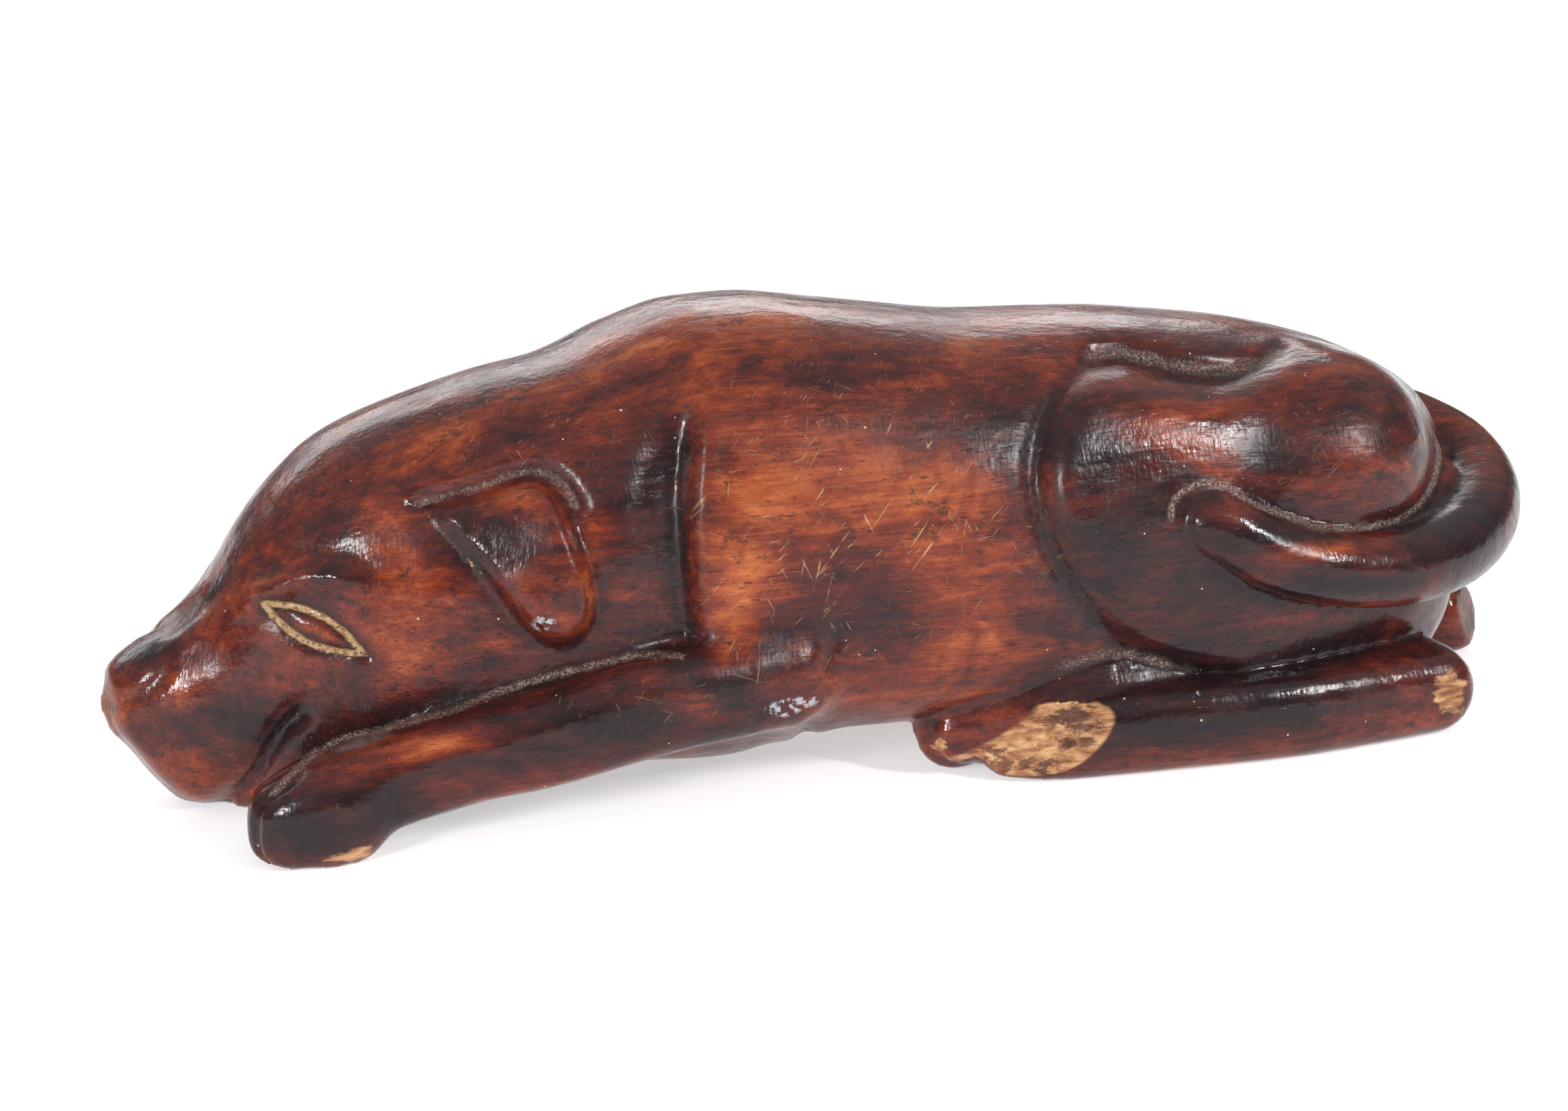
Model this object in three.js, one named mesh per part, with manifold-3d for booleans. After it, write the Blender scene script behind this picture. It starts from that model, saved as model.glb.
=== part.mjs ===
import * as THREE from 'three';
import { mergeVertices } from 'three/addons/utils/BufferGeometryUtils.js';
import Module from 'manifold-3d';

const wasm = await Module();
wasm.setup();

// A carved wooden snuff box in the form of a hound lying down, with a flat lid let into its underside.
// Sizes are millimetres: the nose points to -X, the flank with the tail laid along it faces -Y, floor at z = 0.

// Carving grid, finer along the head, and face count
const headStep = 0.45;
const bodyStep = 0.8;
const headEnd = -22;
const crossStep = 0.85;
const heightStep = 0.55;
const gridMargin = 1.6;
const blockFrom = new THREE.Vector3(-59, -19.5, 0);
const blockTo = new THREE.Vector3(59, 19.5, 36.5);
const houndFaces = 8300;

// Box inside the body
const bellyHeight = 3.9;
const lidLength = 42;
const lidWidth = 16.6;
const lidThickness = 2.6;
const lidCorner = 6;
const lidCentreX = 19.5;
const fitGap = 0.3;
const ledgeWidth = 1.5;
const cavityTop = 26.5;
const cavityRound = 4.5;
const notchRadius = 4.5;
const notchDepth = 1.1;

// Lines of the body from nose to rump, each as [x, value]
const backLine = profile([
  [-58.4, 8.6], [-57.7, 10.6], [-55.6, 12.3], [-52.8, 13.7], [-50.1, 16.2], [-47.4, 20.6], [-44.7, 24.1],
  [-42, 26.6], [-39.4, 28], [-34.1, 29.8], [-28.8, 31.2], [-23.5, 32.2], [-18.1, 34.4], [-12.7, 35.8],
  [-8.4, 35.9], [-1.8, 35], [3.7, 34.1], [9.3, 33.3], [20.7, 32.8], [26.5, 32.1], [32.3, 31.2],
  [38.2, 29.7], [44.3, 27.2], [47.4, 25], [50, 21.5], [51.6, 16],
]);
const undersideLine = profile([
  [-58.4, 7.6], [-57.9, 6.2], [-56.6, 4.6], [-54.6, 1.9], [-52.5, 0], [-49, -0.6], [-44, -0.4], [-40, 0.4],
  [-32, 1.4], [-20, 1.2], [-11, 1], [-6, 2], [-3, 2.5], [46, 2.5], [49, 4.5], [51.6, 12],
]);
const halfWidth = profile([
  [-58.4, 0.8], [-57.7, 2.4], [-55.6, 4], [-52.8, 5.4], [-50, 6.5], [-47.4, 7.7], [-44.7, 9], [-42, 10.2],
  [-39, 11.4], [-34, 12.6], [-29, 13.4], [-23, 14], [-18, 14.6], [-12, 15.6], [5, 16], [15, 15.4],
  [25, 14.8], [35, 14.2], [42, 12.6], [46, 10.2], [49, 7.2], [51, 3.6], [51.6, 1],
]);
const widestLine = profile([
  [-58.4, 8.1], [-52.8, 7.4], [-47.4, 9], [-42, 10.5], [-34, 12.5], [-20, 15], [0, 15.5], [44, 15], [51.6, 14],
]);
const bellyLine = profile([
  [-14, -2], [-11, -1], [-6, bellyHeight - 0.4], [-3, bellyHeight], [60, bellyHeight],
]);
const upperFullness = profile([[-56, 2.7], [-48, 2.7], [-42, 2.4], [52, 2.4]]);
const lowerFullness = profile([[-56, 2.7], [-20, 2.8], [-4, 2.9], [52, 2.9]]);
const noseEnd = -58.4;
const rumpEnd = 51.6;

// Limbs as [x, y, z, radius] along their middle, for the near side
const nearForeleg = [
  [-44.5, -15.5, 3.9, 3.5], [-40, -15.2, 5.2, 3.4], [-34, -14.9, 6.4, 3.4], [-28, -14.8, 7.3, 3.6],
  [-22, -14.5, 8.6, 3.8], [-16, -14.2, 9.4, 3.8], [-9.5, -13.8, 9.4, 3.2],
];
const nearShank = [
  [9.2, -13.2, 2.6, 2.6], [13, -13.7, 3.1, 3.4], [20, -14, 3.35, 3.6], [32, -13.9, 3.4, 3.65],
  [40, -12.7, 3.4, 3.65], [44.6, -11.9, 3.4, 3.6],
];
const farShank = [
  [9.2, 13.2, 2.6, 2.6], [13, 13.7, 3.1, 3.4], [20, 14, 3.35, 3.6], [32, 13.9, 3.4, 3.65],
  [42, 12.2, 3.4, 3.6], [50, 9, 3.2, 3.4], [55.3, 6.9, 2.7, 3],
];
const hindPaw = [[5.6, -10.6, 3.3, 3.2], [10, -11.6, 4.8, 3.2], [15, -12.6, 6.1, 3], [22, -13, 6.6, 2.2]];
const tail = [
  [24.1, -15.4, 19.5, 2.65], [26.1, -15.7, 18.6, 2.8], [29.5, -15.9, 16.7, 2.95], [34.8, -15.7, 15.1, 3.05],
  [41.1, -14.3, 14.2, 3.1], [47, -10.6, 14.2, 3.3], [51.2, -6, 15, 3.5], [53.4, -1, 16.3, 3.6],
  [53, 2.8, 17.8, 3.6], [50.4, 4.8, 19, 3.8], [46.5, 4.5, 20.1, 4.2],
];
const forepaw = { middle: [-45.4, -15.6, 2.8], half: [4.9, 3.2, 3.4] };
const nearHip = { middle: [36, -7.6, 21.6], half: [9, 8.2, 8.2] };
const farHip = { middle: [34, 7.8, 18.4], half: [9, 8, 8] };

// Carving of the flanks as [x, z] on an upright sheet at y = sheetY, as it is seen from drawnFrom.
// The far flank is carved as the near one is. A carved line starts with its height and its width.
const drawnFrom = new THREE.Vector3(-100, -311, 111.4);
const sheetY = -14;
const earOutline = smoothLine([
  [-36.2, 25.1], [-34.2, 25.3], [-31.9, 25.7], [-29.9, 26.5], [-28.4, 26.6], [-26.9, 25.9], [-25.7, 24],
  [-24.7, 21.6], [-23.9, 19.1], [-23.6, 16.7], [-24, 15], [-25.2, 14.1], [-26.5, 13.8], [-28, 14.6],
  [-29.5, 16.1], [-30.8, 17.9], [-32.3, 20], [-34.1, 22.3], [-35.3, 23.9],
], true);
const earGroove = carvedLine(-0.85, 0.75, [
  [-36.9, 25.6], [-34.2, 26.2], [-31.9, 26.6], [-29.9, 27.2], [-27.8, 27.3], [-26.3, 26.4], [-25, 24.4],
]);
const thighOutline = smoothLine([
  [34, 31.6], [31, 31.4], [29.3, 30.8], [26.5, 30.1], [24.3, 30.1], [22, 30.6], [19.8, 31.2], [17.6, 31.9],
  [15.9, 32], [14.3, 31.6], [12.9, 30.7], [11.9, 29.1], [11.2, 27.3], [10.8, 25.2], [10.8, 23.1],
  [11.2, 20.9], [11.9, 18.7], [13.1, 16.4], [14.5, 14.1], [16.1, 11.8], [18.1, 9.7], [21, 7.6],
  [27.2, 5], [34, 3], [60, 0], [62, 20], [58, 34], [45, 34],
], true);
const thighValley = carvedLine(-0.85, 0.9, [
  [14.8, 32.9], [17.6, 32.8], [20.3, 32.1], [23.1, 31.3], [25.9, 31], [28.5, 31.4], [30.4, 32],
]);
const shoulderGroove = smoothLine([
  [-16.1, 33.1], [-16.7, 30.5], [-17.1, 26.9], [-17.3, 23.8], [-17.2, 20.7], [-17, 17.5], [-16.7, 14.3],
  [-16, 11.8], [-14.7, 9.8], [-12.9, 8.3], [-11, 7.4],
]);
const elbowCrease = carvedLine(-0.8, 0.6, [
  [-4.2, 14.5], [-5, 12.4], [-5.9, 10.3], [-6.7, 8.5], [-7.3, 6.4], [-7.6, 4],
]);
const mouthGroove = carvedLine(-1.1, 0.75, [
  [-45.8, 10.7], [-47, 9.7], [-48.2, 8], [-49.2, 6.3], [-50.7, 5.1], [-52.5, 4.4],
]);
const noseCrease = carvedLine(-0.28, 0.55, [[-55.9, 16.9], [-55.5, 15.4], [-56.2, 13.8], [-57.7, 13]]);
const noseBridge = carvedLine(0.35, 1, [[-46.5, 20.2], [-47.5, 19.8], [-50, 19], [-52.5, 17.8], [-55, 16.5]]);
const brow = carvedLine(0.75, 1, [[-48.2, 20.1], [-46.4, 20.7], [-44.4, 20.8], [-42.4, 20.5]]);
const tailTrough = carvedLine(-0.9, 1, [[42.9, 27.1], [43.9, 24.3], [43.8, 21.2], [42.1, 18.6], [38.4, 17.5]]);
const eye = {
  x: -44.65, z: 16.9, halfLength: 4.2, bow: 1.05, tilt: -0.555, rise: 0.25, groove: 0.35, grooveWidth: 0.3,
  end: 1.15, care: 8,
};

// Sizes of the carving, how far along X or Z a part reaches, and where it starts and stops fading
const carvedBand = 3.4;
const carvedFrom = [0.12, 0.45];
const thigh = {
  reach: [4, 44], rise: 1.8, low: [8, 11], rear: [26, 42], rounding: 2.8,
  edgeGroove: 0.55, edgeWidth: 0.7, edgeOut: 0.45,
};
const ear = {
  reach: [-44, -16], front: 0.75, more: 1.45, thickens: [-34.5, -24.5], hingeZ: 21, slant: 0.45, rounding: 1.1,
  edgeGroove: 0.25, edgeWidth: 0.4, edgeOut: 0.3,
};
const shoulder = {
  reach: [-28, 4], depth: 1.7, least: 0.15, bodyWidth: 1.7, neckWidth: 2.9, top: [26, 33],
  creaseTop: [12.5, 15.5],
};
const face = { end: -38, mouthFade: [-55, -50] };
const foreToes = { lines: [-16.9, -14.4], depth: 0.7, width: 0.4, fade: [-47.8, -45.5] };
const hindToes = { lines: [-12.2, -10.1], depth: 0.6, width: 0.35, fade: [4.5, 7.5] };

// How softly each part runs into the body
const joins = { hip: 3, belly: 0.6, hindPaw: 0.8, farShank: 0.8, nearShank: 0.5, tail: 0.3, forepaw: 1.6 };
const forelegJoin = { paw: 0.7, more: 2.2, elbow: [-18, -11] };
const breakEdge = { paw: 0.3, heel: 0.25 };

// Flat breaks: the near hind leg has lost its paw, and the far heel is chipped
const pawBreak = toPlane([11.6, -15.6, 4.2], [-0.42, -0.86, 0.28]);
const heelChip = toPlane([56.2, 4.9, 2.8], [0.7, -0.66, 0.27]);

const woodColour = 0x6e2412;
const lidColour = 0x5c2413;

// Number helpers
function limit(value, low, high) {
  return Math.min(high, Math.max(low, value));
}

function ease(from, to, value) {
  const t = limit((value - from) / (to - from), 0, 1);
  return t * t * (3 - 2 * t);
}

function joinSoft(a, b, radius) {
  const near = Math.max(radius - Math.abs(a - b), 0) / radius;
  return Math.min(a, b) - near * near * radius / 4;
}

function cutSoft(a, b, radius) {
  return -joinSoft(-a, -b, radius);
}

// A rounded shoulder: 0 at the edge of a raised part, 1 from the given width inwards
function dome(inside, width) {
  return Math.sin(limit(inside / width, 0, 1) * Math.PI / 2) ** 1.3;
}

function bell(distance, width) {
  return Math.exp(-(distance * distance) / (width * width));
}

// A smooth line through [x, value] points that never overshoots them
function profile(points) {
  const last = points.length - 1;
  const span = (i) => points[i + 1][0] - points[i][0];
  const rise = (i) => (points[i + 1][1] - points[i][1]) / span(i);
  const slope = points.map((point, i) => {
    if (i === 0) return rise(0);
    if (i === last) return rise(last - 1);
    if (rise(i - 1) * rise(i) <= 0) return 0;
    const before = 2 * span(i) + span(i - 1);
    const after = span(i) + 2 * span(i - 1);
    return (before + after) / (before / rise(i - 1) + after / rise(i));
  });
  return (x) => {
    const place = limit(x, points[0][0], points[last][0]);
    let i = 0;
    while (i < last - 1 && place > points[i + 1][0]) i += 1;
    const t = (place - points[i][0]) / span(i);
    const s = 1 - t;
    const ends = points[i][1] * (1 + 2 * t) * s * s + points[i + 1][1] * t * t * (3 - 2 * t);
    return ends + span(i) * t * s * (slope[i] * s - slope[i + 1] * t);
  };
}

// A smooth line or closed outline through [x, z] points, with the box that it needs
function smoothLine(points, closed = false) {
  const corners = points.map(([x, z]) => new THREE.Vector3(x, 0, z));
  const curve = new THREE.CatmullRomCurve3(corners, closed, 'centripetal');
  const path = curve.getPoints(points.length * 3).map((point) => [point.x, point.z]);
  const [xs, zs] = [0, 1].map((axis) => path.map((point) => point[axis]));
  return { path, left: Math.min(...xs), right: Math.max(...xs), low: Math.min(...zs), high: Math.max(...zs) };
}

const farAway = { distance: 9, side: 0 };

function toLine(line, x, z) {
  const margin = 6;
  if (x < line.left - margin || x > line.right + margin) return farAway;
  if (z < line.low - margin || z > line.high + margin) return farAway;
  let best = farAway;
  for (let i = 1; i < line.path.length; i += 1) {
    const [fromX, fromZ] = line.path[i - 1];
    const dx = line.path[i][0] - fromX;
    const dz = line.path[i][1] - fromZ;
    const t = limit(((x - fromX) * dx + (z - fromZ) * dz) / (dx * dx + dz * dz), 0, 1);
    const distance = Math.hypot(x - fromX - t * dx, z - fromZ - t * dz);
    if (distance < best.distance) best = { distance, side: dx * (z - fromZ) - dz * (x - fromX) };
  }
  return best;
}

// Distance in from an outline: positive inside, negative outside
function insideOutline(line, x, z) {
  const { distance } = toLine(line, x, z);
  let inside = false;
  for (let i = 1; i < line.path.length; i += 1) {
    const from = line.path[i - 1];
    const to = line.path[i];
    const crosses = (from[1] > z) !== (to[1] > z);
    if (crosses && x < from[0] + (to[0] - from[0]) * (z - from[1]) / (to[1] - from[1])) inside = !inside;
  }
  return inside ? distance : -distance;
}

// Distance in front of a plane through a point
function toPlane(point, facing) {
  const normal = new THREE.Vector3(...facing).normalize();
  const offset = normal.dot(new THREE.Vector3(...point));
  return (x, y, z) => normal.x * x + normal.y * y + normal.z * z - offset;
}

// Carving of the two flanks, in millimetres outwards
function within([from, to], x) {
  return x >= from && x <= to;
}

function fade([from, to], value) {
  return 1 - ease(from, to, value);
}

function carvedLine(height, width, points) {
  return { ...smoothLine(points), height, width };
}

function lineRelief(line, x, z) {
  return line.height * bell(toLine(line, x, z).distance, line.width);
}

function edgeRelief({ rounding, edgeGroove, edgeWidth, edgeOut }, rise, low, inside) {
  return rise * dome(inside, rounding) - low * edgeGroove * bell(inside + edgeOut, edgeWidth);
}

function thighRelief(x, z) {
  if (!within(thigh.reach, x)) return 0;
  const rim = edgeRelief(thigh, thigh.rise, 1 - fade(thigh.low, z), insideOutline(thighOutline, x, z));
  return rim * fade(thigh.rear, x) + lineRelief(thighValley, x, z);
}

function earRelief(x, z) {
  if (!within(ear.reach, x)) return 0;
  const thickening = 1 - fade(ear.thickens, x + (ear.hingeZ - z) * ear.slant);
  const flap = edgeRelief(ear, ear.front + ear.more * thickening, 1, insideOutline(earOutline, x, z));
  return flap + lineRelief(earGroove, x, z);
}

function shoulderRelief(x, z) {
  if (!within(shoulder.reach, x)) return 0;
  const groove = toLine(shoulderGroove, x, z);
  const width = groove.side > 0 ? shoulder.bodyWidth : shoulder.neckWidth;
  const depth = shoulder.depth * fade(shoulder.top, z) + shoulder.least;
  return lineRelief(elbowCrease, x, z) * fade(shoulder.creaseTop, z) - depth * bell(groove.distance, width);
}

function eyeRelief(x, z) {
  const [cos, sin] = [Math.cos(eye.tilt), Math.sin(eye.tilt)];
  const along = ((x - eye.x) * cos + (z - eye.z) * sin) / eye.halfLength;
  const across = Math.abs((z - eye.z) * cos - (x - eye.x) * sin);
  if (Math.abs(along) > eye.end) return 0;
  const taper = Math.max(1 - along * along, 0);
  const lid = eye.bow * taper;
  const ball = eye.rise * taper * fade([0.4, 1], across / (lid + 0.05));
  return ball - eye.groove * bell(across - lid, eye.grooveWidth);
}

function faceRelief(x, z) {
  if (x > face.end) return 0;
  const mouth = lineRelief(mouthGroove, x, z) * (1 - fade(face.mouthFade, x));
  const lines = [noseCrease, noseBridge, brow].reduce((sum, line) => sum + lineRelief(line, x, z), 0);
  return eyeRelief(x, z) + lines + mouth;
}

function flankRelief(x, y, z) {
  const t = (sheetY - drawnFrom.y) / (-Math.abs(y) - drawnFrom.y);
  const sheetX = drawnFrom.x + (x - drawnFrom.x) * t;
  const sheetZ = drawnFrom.z + (z - drawnFrom.z) * t;
  const trough = y < 0 ? lineRelief(tailTrough, sheetX, sheetZ) : 0;
  const rear = thighRelief(sheetX, sheetZ) + trough;
  return rear + earRelief(sheetX, sheetZ) + shoulderRelief(sheetX, sheetZ) + faceRelief(sheetX, sheetZ);
}

// A limb as short cones between points on a smooth path; a power over 2 squares its section
function limb(points, mirrored = false, power = 2) {
  const side = mirrored ? -1 : 1;
  const corners = points.map(([x, y, z]) => new THREE.Vector3(x, y * side, z));
  const middle = new THREE.CatmullRomCurve3(corners, false, 'centripetal');
  const thickness = profile(points.map((point, i) => [i, point[3]]));
  const stepsPerPoint = 3;
  const count = (points.length - 1) * stepsPerPoint;
  const path = [];
  for (let i = 0; i <= count; i += 1) {
    const place = middle.getPoint(i / count);
    path.push([place.x, place.y, place.z, thickness(i / stepsPerPoint)]);
  }
  const reach = 6;
  const cones = path.slice(1).map((to, i) => ({
    from: path[i],
    to,
    low: Math.min(path[i][0], to[0]) - reach,
    high: Math.max(path[i][0], to[0]) + reach,
  }));
  return { cones, power };
}

function toLimb({ cones, power }, x, y, z) {
  let nearest = 9;
  for (const { from, to, low, high } of cones) {
    if (x < low || x > high) continue;
    const dx = to[0] - from[0];
    const dy = to[1] - from[1];
    const dz = to[2] - from[2];
    const along = (x - from[0]) * dx + (y - from[1]) * dy + (z - from[2]) * dz;
    const t = limit(along / (dx * dx + dy * dy + dz * dz), 0, 1);
    const upright = Math.hypot(x - from[0] - t * dx, z - from[2] - t * dz);
    const gap = (upright ** power + Math.abs(y - from[1] - t * dy) ** power) ** (1 / power);
    nearest = Math.min(nearest, gap - from[3] - t * (to[3] - from[3]));
  }
  return nearest;
}

function toBall({ middle, half }, x, y, z, power = 2) {
  const offsets = [x - middle[0], y - middle[1], z - middle[2]].map((gap, axis) => Math.abs(gap) / half[axis]);
  const sum = offsets[0] ** power + offsets[1] ** power + offsets[2] ** power;
  const reach = Math.max(sum ** (1 / power), 1e-6);
  const slopes = offsets.map((offset, axis) => (offset / reach) ** (power - 1) / half[axis]);
  return (reach - 1) / Math.max(Math.hypot(...slopes), 1e-3);
}

function mirrorBall({ middle, half }) {
  return { middle: [middle[0], -middle[1], middle[2]], half };
}

// The body as cross-sections along X: widths and heights of each section, then distance from it
function sectionAt(x) {
  const widest = widestLine(x);
  const powers = { upperPower: upperFullness(x), lowerPower: lowerFullness(x) };
  return { side: halfWidth(x), widest, up: backLine(x) - widest, down: widest - undersideLine(x), ...powers };
}

function sectionReach(section, y, z) {
  const above = z > section.widest;
  const power = above ? section.upperPower : section.lowerPower;
  const height = above ? section.up : section.down;
  const u = Math.abs(y) / section.side;
  const v = Math.abs(z - section.widest) / height;
  const reach = Math.max((u ** power + v ** power) ** (1 / power), 1e-6);
  const slopeY = (u / reach) ** (power - 1) / section.side;
  const slopeZ = (v / reach) ** (power - 1) / height;
  return { reach, slopeY, slopeZ };
}

function toBody(sections, x, y, z) {
  const here = sectionReach(sections.here, y, z);
  const before = sectionReach(sections.before, y, z);
  const after = sectionReach(sections.after, y, z);
  const slopeX = (after.reach - before.reach) / sections.span;
  const distance = (here.reach - 1) / Math.hypot(here.slopeY, here.slopeZ, slopeX);
  return Math.max(distance, noseEnd - x, x - rumpEnd);
}

const squared = 3;
const limbs = {
  nearForeleg: limb(nearForeleg, false, squared),
  farForeleg: limb(nearForeleg, true, squared),
  nearShank: limb(nearShank, false, squared),
  farShank: limb(farShank, false, squared),
  nearHindPaw: limb(hindPaw),
  farHindPaw: limb(hindPaw, true),
  tail: limb(tail),
};

// Grooves between toes, where the paw ends
function toeGrooves(toes, x, y) {
  const grooves = toes.lines.reduce((sum, line) => sum + bell(Math.abs(y) + line, toes.width), 0);
  return toes.depth * grooves * fade(toes.fade, x);
}

// Distance from the carved surface at a point: negative inside the wood
function carve(sections, x, y, z) {
  const near = y < 0;
  const flank = ease(...carvedFrom, Math.abs(y) / sections.here.side);
  const body = toBody(sections, x, y, z);
  const carving = Math.abs(body) < carvedBand ? flankRelief(x, y, z) * flank : 0;
  let shape = joinSoft(body - carving, toBall(near ? nearHip : farHip, x, y, z), joins.hip);
  shape = cutSoft(shape, bellyLine(x) - z, joins.belly);
  const hindPaws = toLimb(near ? limbs.nearHindPaw : limbs.farHindPaw, x, y, z) + toeGrooves(hindToes, x, y);
  shape = joinSoft(shape, hindPaws, joins.hindPaw);
  const farLeg = cutSoft(toLimb(limbs.farShank, x, y, z), heelChip(x, y, z), breakEdge.heel);
  shape = joinSoft(shape, farLeg, joins.farShank);
  const nearLeg = cutSoft(toLimb(limbs.nearShank, x, y, z), pawBreak(x, y, z), breakEdge.paw);
  shape = joinSoft(shape, nearLeg, joins.nearShank);
  shape = joinSoft(shape, toLimb(limbs.tail, x, y, z), joins.tail);
  const paw = toBall(near ? forepaw : mirrorBall(forepaw), x, y, z, squared);
  const forearm = toLimb(near ? limbs.nearForeleg : limbs.farForeleg, x, y, z);
  const foreleg = joinSoft(forearm, paw, joins.forepaw) + toeGrooves(foreToes, x, y);
  return joinSoft(shape, foreleg, forelegJoin.paw + forelegJoin.more * ease(...forelegJoin.elbow, x));
}

function gridLine(from, to, stepAt) {
  const line = [from];
  while (line.at(-1) < to) line.push(line.at(-1) + stepAt(line.at(-1)));
  return line;
}

// The carved field sampled on a grid
function sampleGrid() {
  const from = blockFrom.clone().subScalar(gridMargin);
  const to = blockTo.clone().addScalar(gridMargin);
  const xs = gridLine(from.x, to.x, (x) => (x < headEnd ? headStep : bodyStep));
  const ys = gridLine(from.y, to.y, () => crossStep);
  const zs = gridLine(from.z, to.z, () => heightStep);
  const values = new Float32Array(xs.length * ys.length * zs.length);
  const slice = bodyStep / 2;
  const hair = 1e-4;
  xs.forEach((x, i) => {
    const before = sectionAt(x - slice);
    const after = sectionAt(x + slice);
    const sections = { here: sectionAt(x), before, after, span: 2 * slice };
    zs.forEach((z, k) => {
      ys.forEach((y, j) => {
        const value = carve(sections, x, y, z);
        values[(i * ys.length + j) * zs.length + k] = Math.abs(value) < hair ? hair : value;
      });
    });
  });
  return { xs, ys, zs, values };
}

// A closed skin on the grid's zero level: each cell is split into six tetrahedra along its diagonal
function skin(grid) {
  const { xs, ys, zs, values } = grid;
  const [nx, ny, nz] = [xs.length, ys.length, zs.length];
  const offsets = [0, 1, 2, 3, 4, 5, 6, 7].map((c) => ((c >> 2) * ny + ((c >> 1) & 1)) * nz + (c & 1));
  const tetrahedra = [
    [0, 4, 6, 7], [0, 5, 4, 7], [0, 6, 2, 7], [0, 2, 3, 7], [0, 1, 5, 7], [0, 3, 1, 7],
  ];
  const evenOrders = [[0, 1, 2, 3], [1, 0, 3, 2], [2, 3, 0, 1], [3, 2, 1, 0]];
  const pairOrders = [[0, 1, 2, 3], [0, 2, 3, 1], [0, 3, 1, 2], [1, 2, 0, 3], [1, 3, 2, 0], [2, 3, 0, 1]];
  const positions = [];
  const faces = [];
  const known = new Map();

  const place = (i) => {
    const column = Math.floor(i / nz);
    return new THREE.Vector3(xs[Math.floor(column / ny)], ys[column % ny], zs[i % nz]);
  };

  const crossing = (base, a, b) => {
    const low = Math.min(a, b);
    const high = Math.max(a, b);
    const key = (base + offsets[low]) * 8 + (high - low);
    if (known.has(key)) return known.get(key);
    const start = base + offsets[low];
    const end = base + offsets[high];
    const t = values[start] / (values[start] - values[end]);
    const number = positions.length / 3;
    positions.push(...place(start).lerp(place(end), t).toArray());
    known.set(key, number);
    return number;
  };

  const addTetrahedron = (base, corners) => {
    const within = corners.map((c) => values[base + offsets[c]] < 0);
    const count = within.filter(Boolean).length;
    if (count === 0 || count === 4) return;
    if (count === 2) {
      const order = pairOrders.find(([first, second]) => within[first] && within[second]);
      const [p, q, r, s] = order.map((i) => corners[i]);
      const ring = [[p, r], [p, s], [q, s], [q, r]].map(([a, b]) => crossing(base, a, b));
      faces.push(ring[0], ring[1], ring[2], ring[0], ring[2], ring[3]);
      return;
    }
    const single = count === 1;
    const [p, q, r, s] = evenOrders.find(([first]) => within[first] === single).map((i) => corners[i]);
    const tip = [q, r, s].map((other) => crossing(base, p, other));
    faces.push(...(single ? tip : tip.reverse()));
  };

  for (let i = 0; i + 1 < nx; i += 1) {
    for (let j = 0; j + 1 < ny; j += 1) {
      for (let k = 0; k + 1 < nz; k += 1) {
        const base = (i * ny + j) * nz + k;
        const inside = offsets.filter((offset) => values[base + offset] < 0).length;
        if (inside === 0 || inside === 8) continue;
        tetrahedra.forEach((corners) => addTetrahedron(base, corners));
      }
    }
  }
  return { positions, faces };
}

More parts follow.
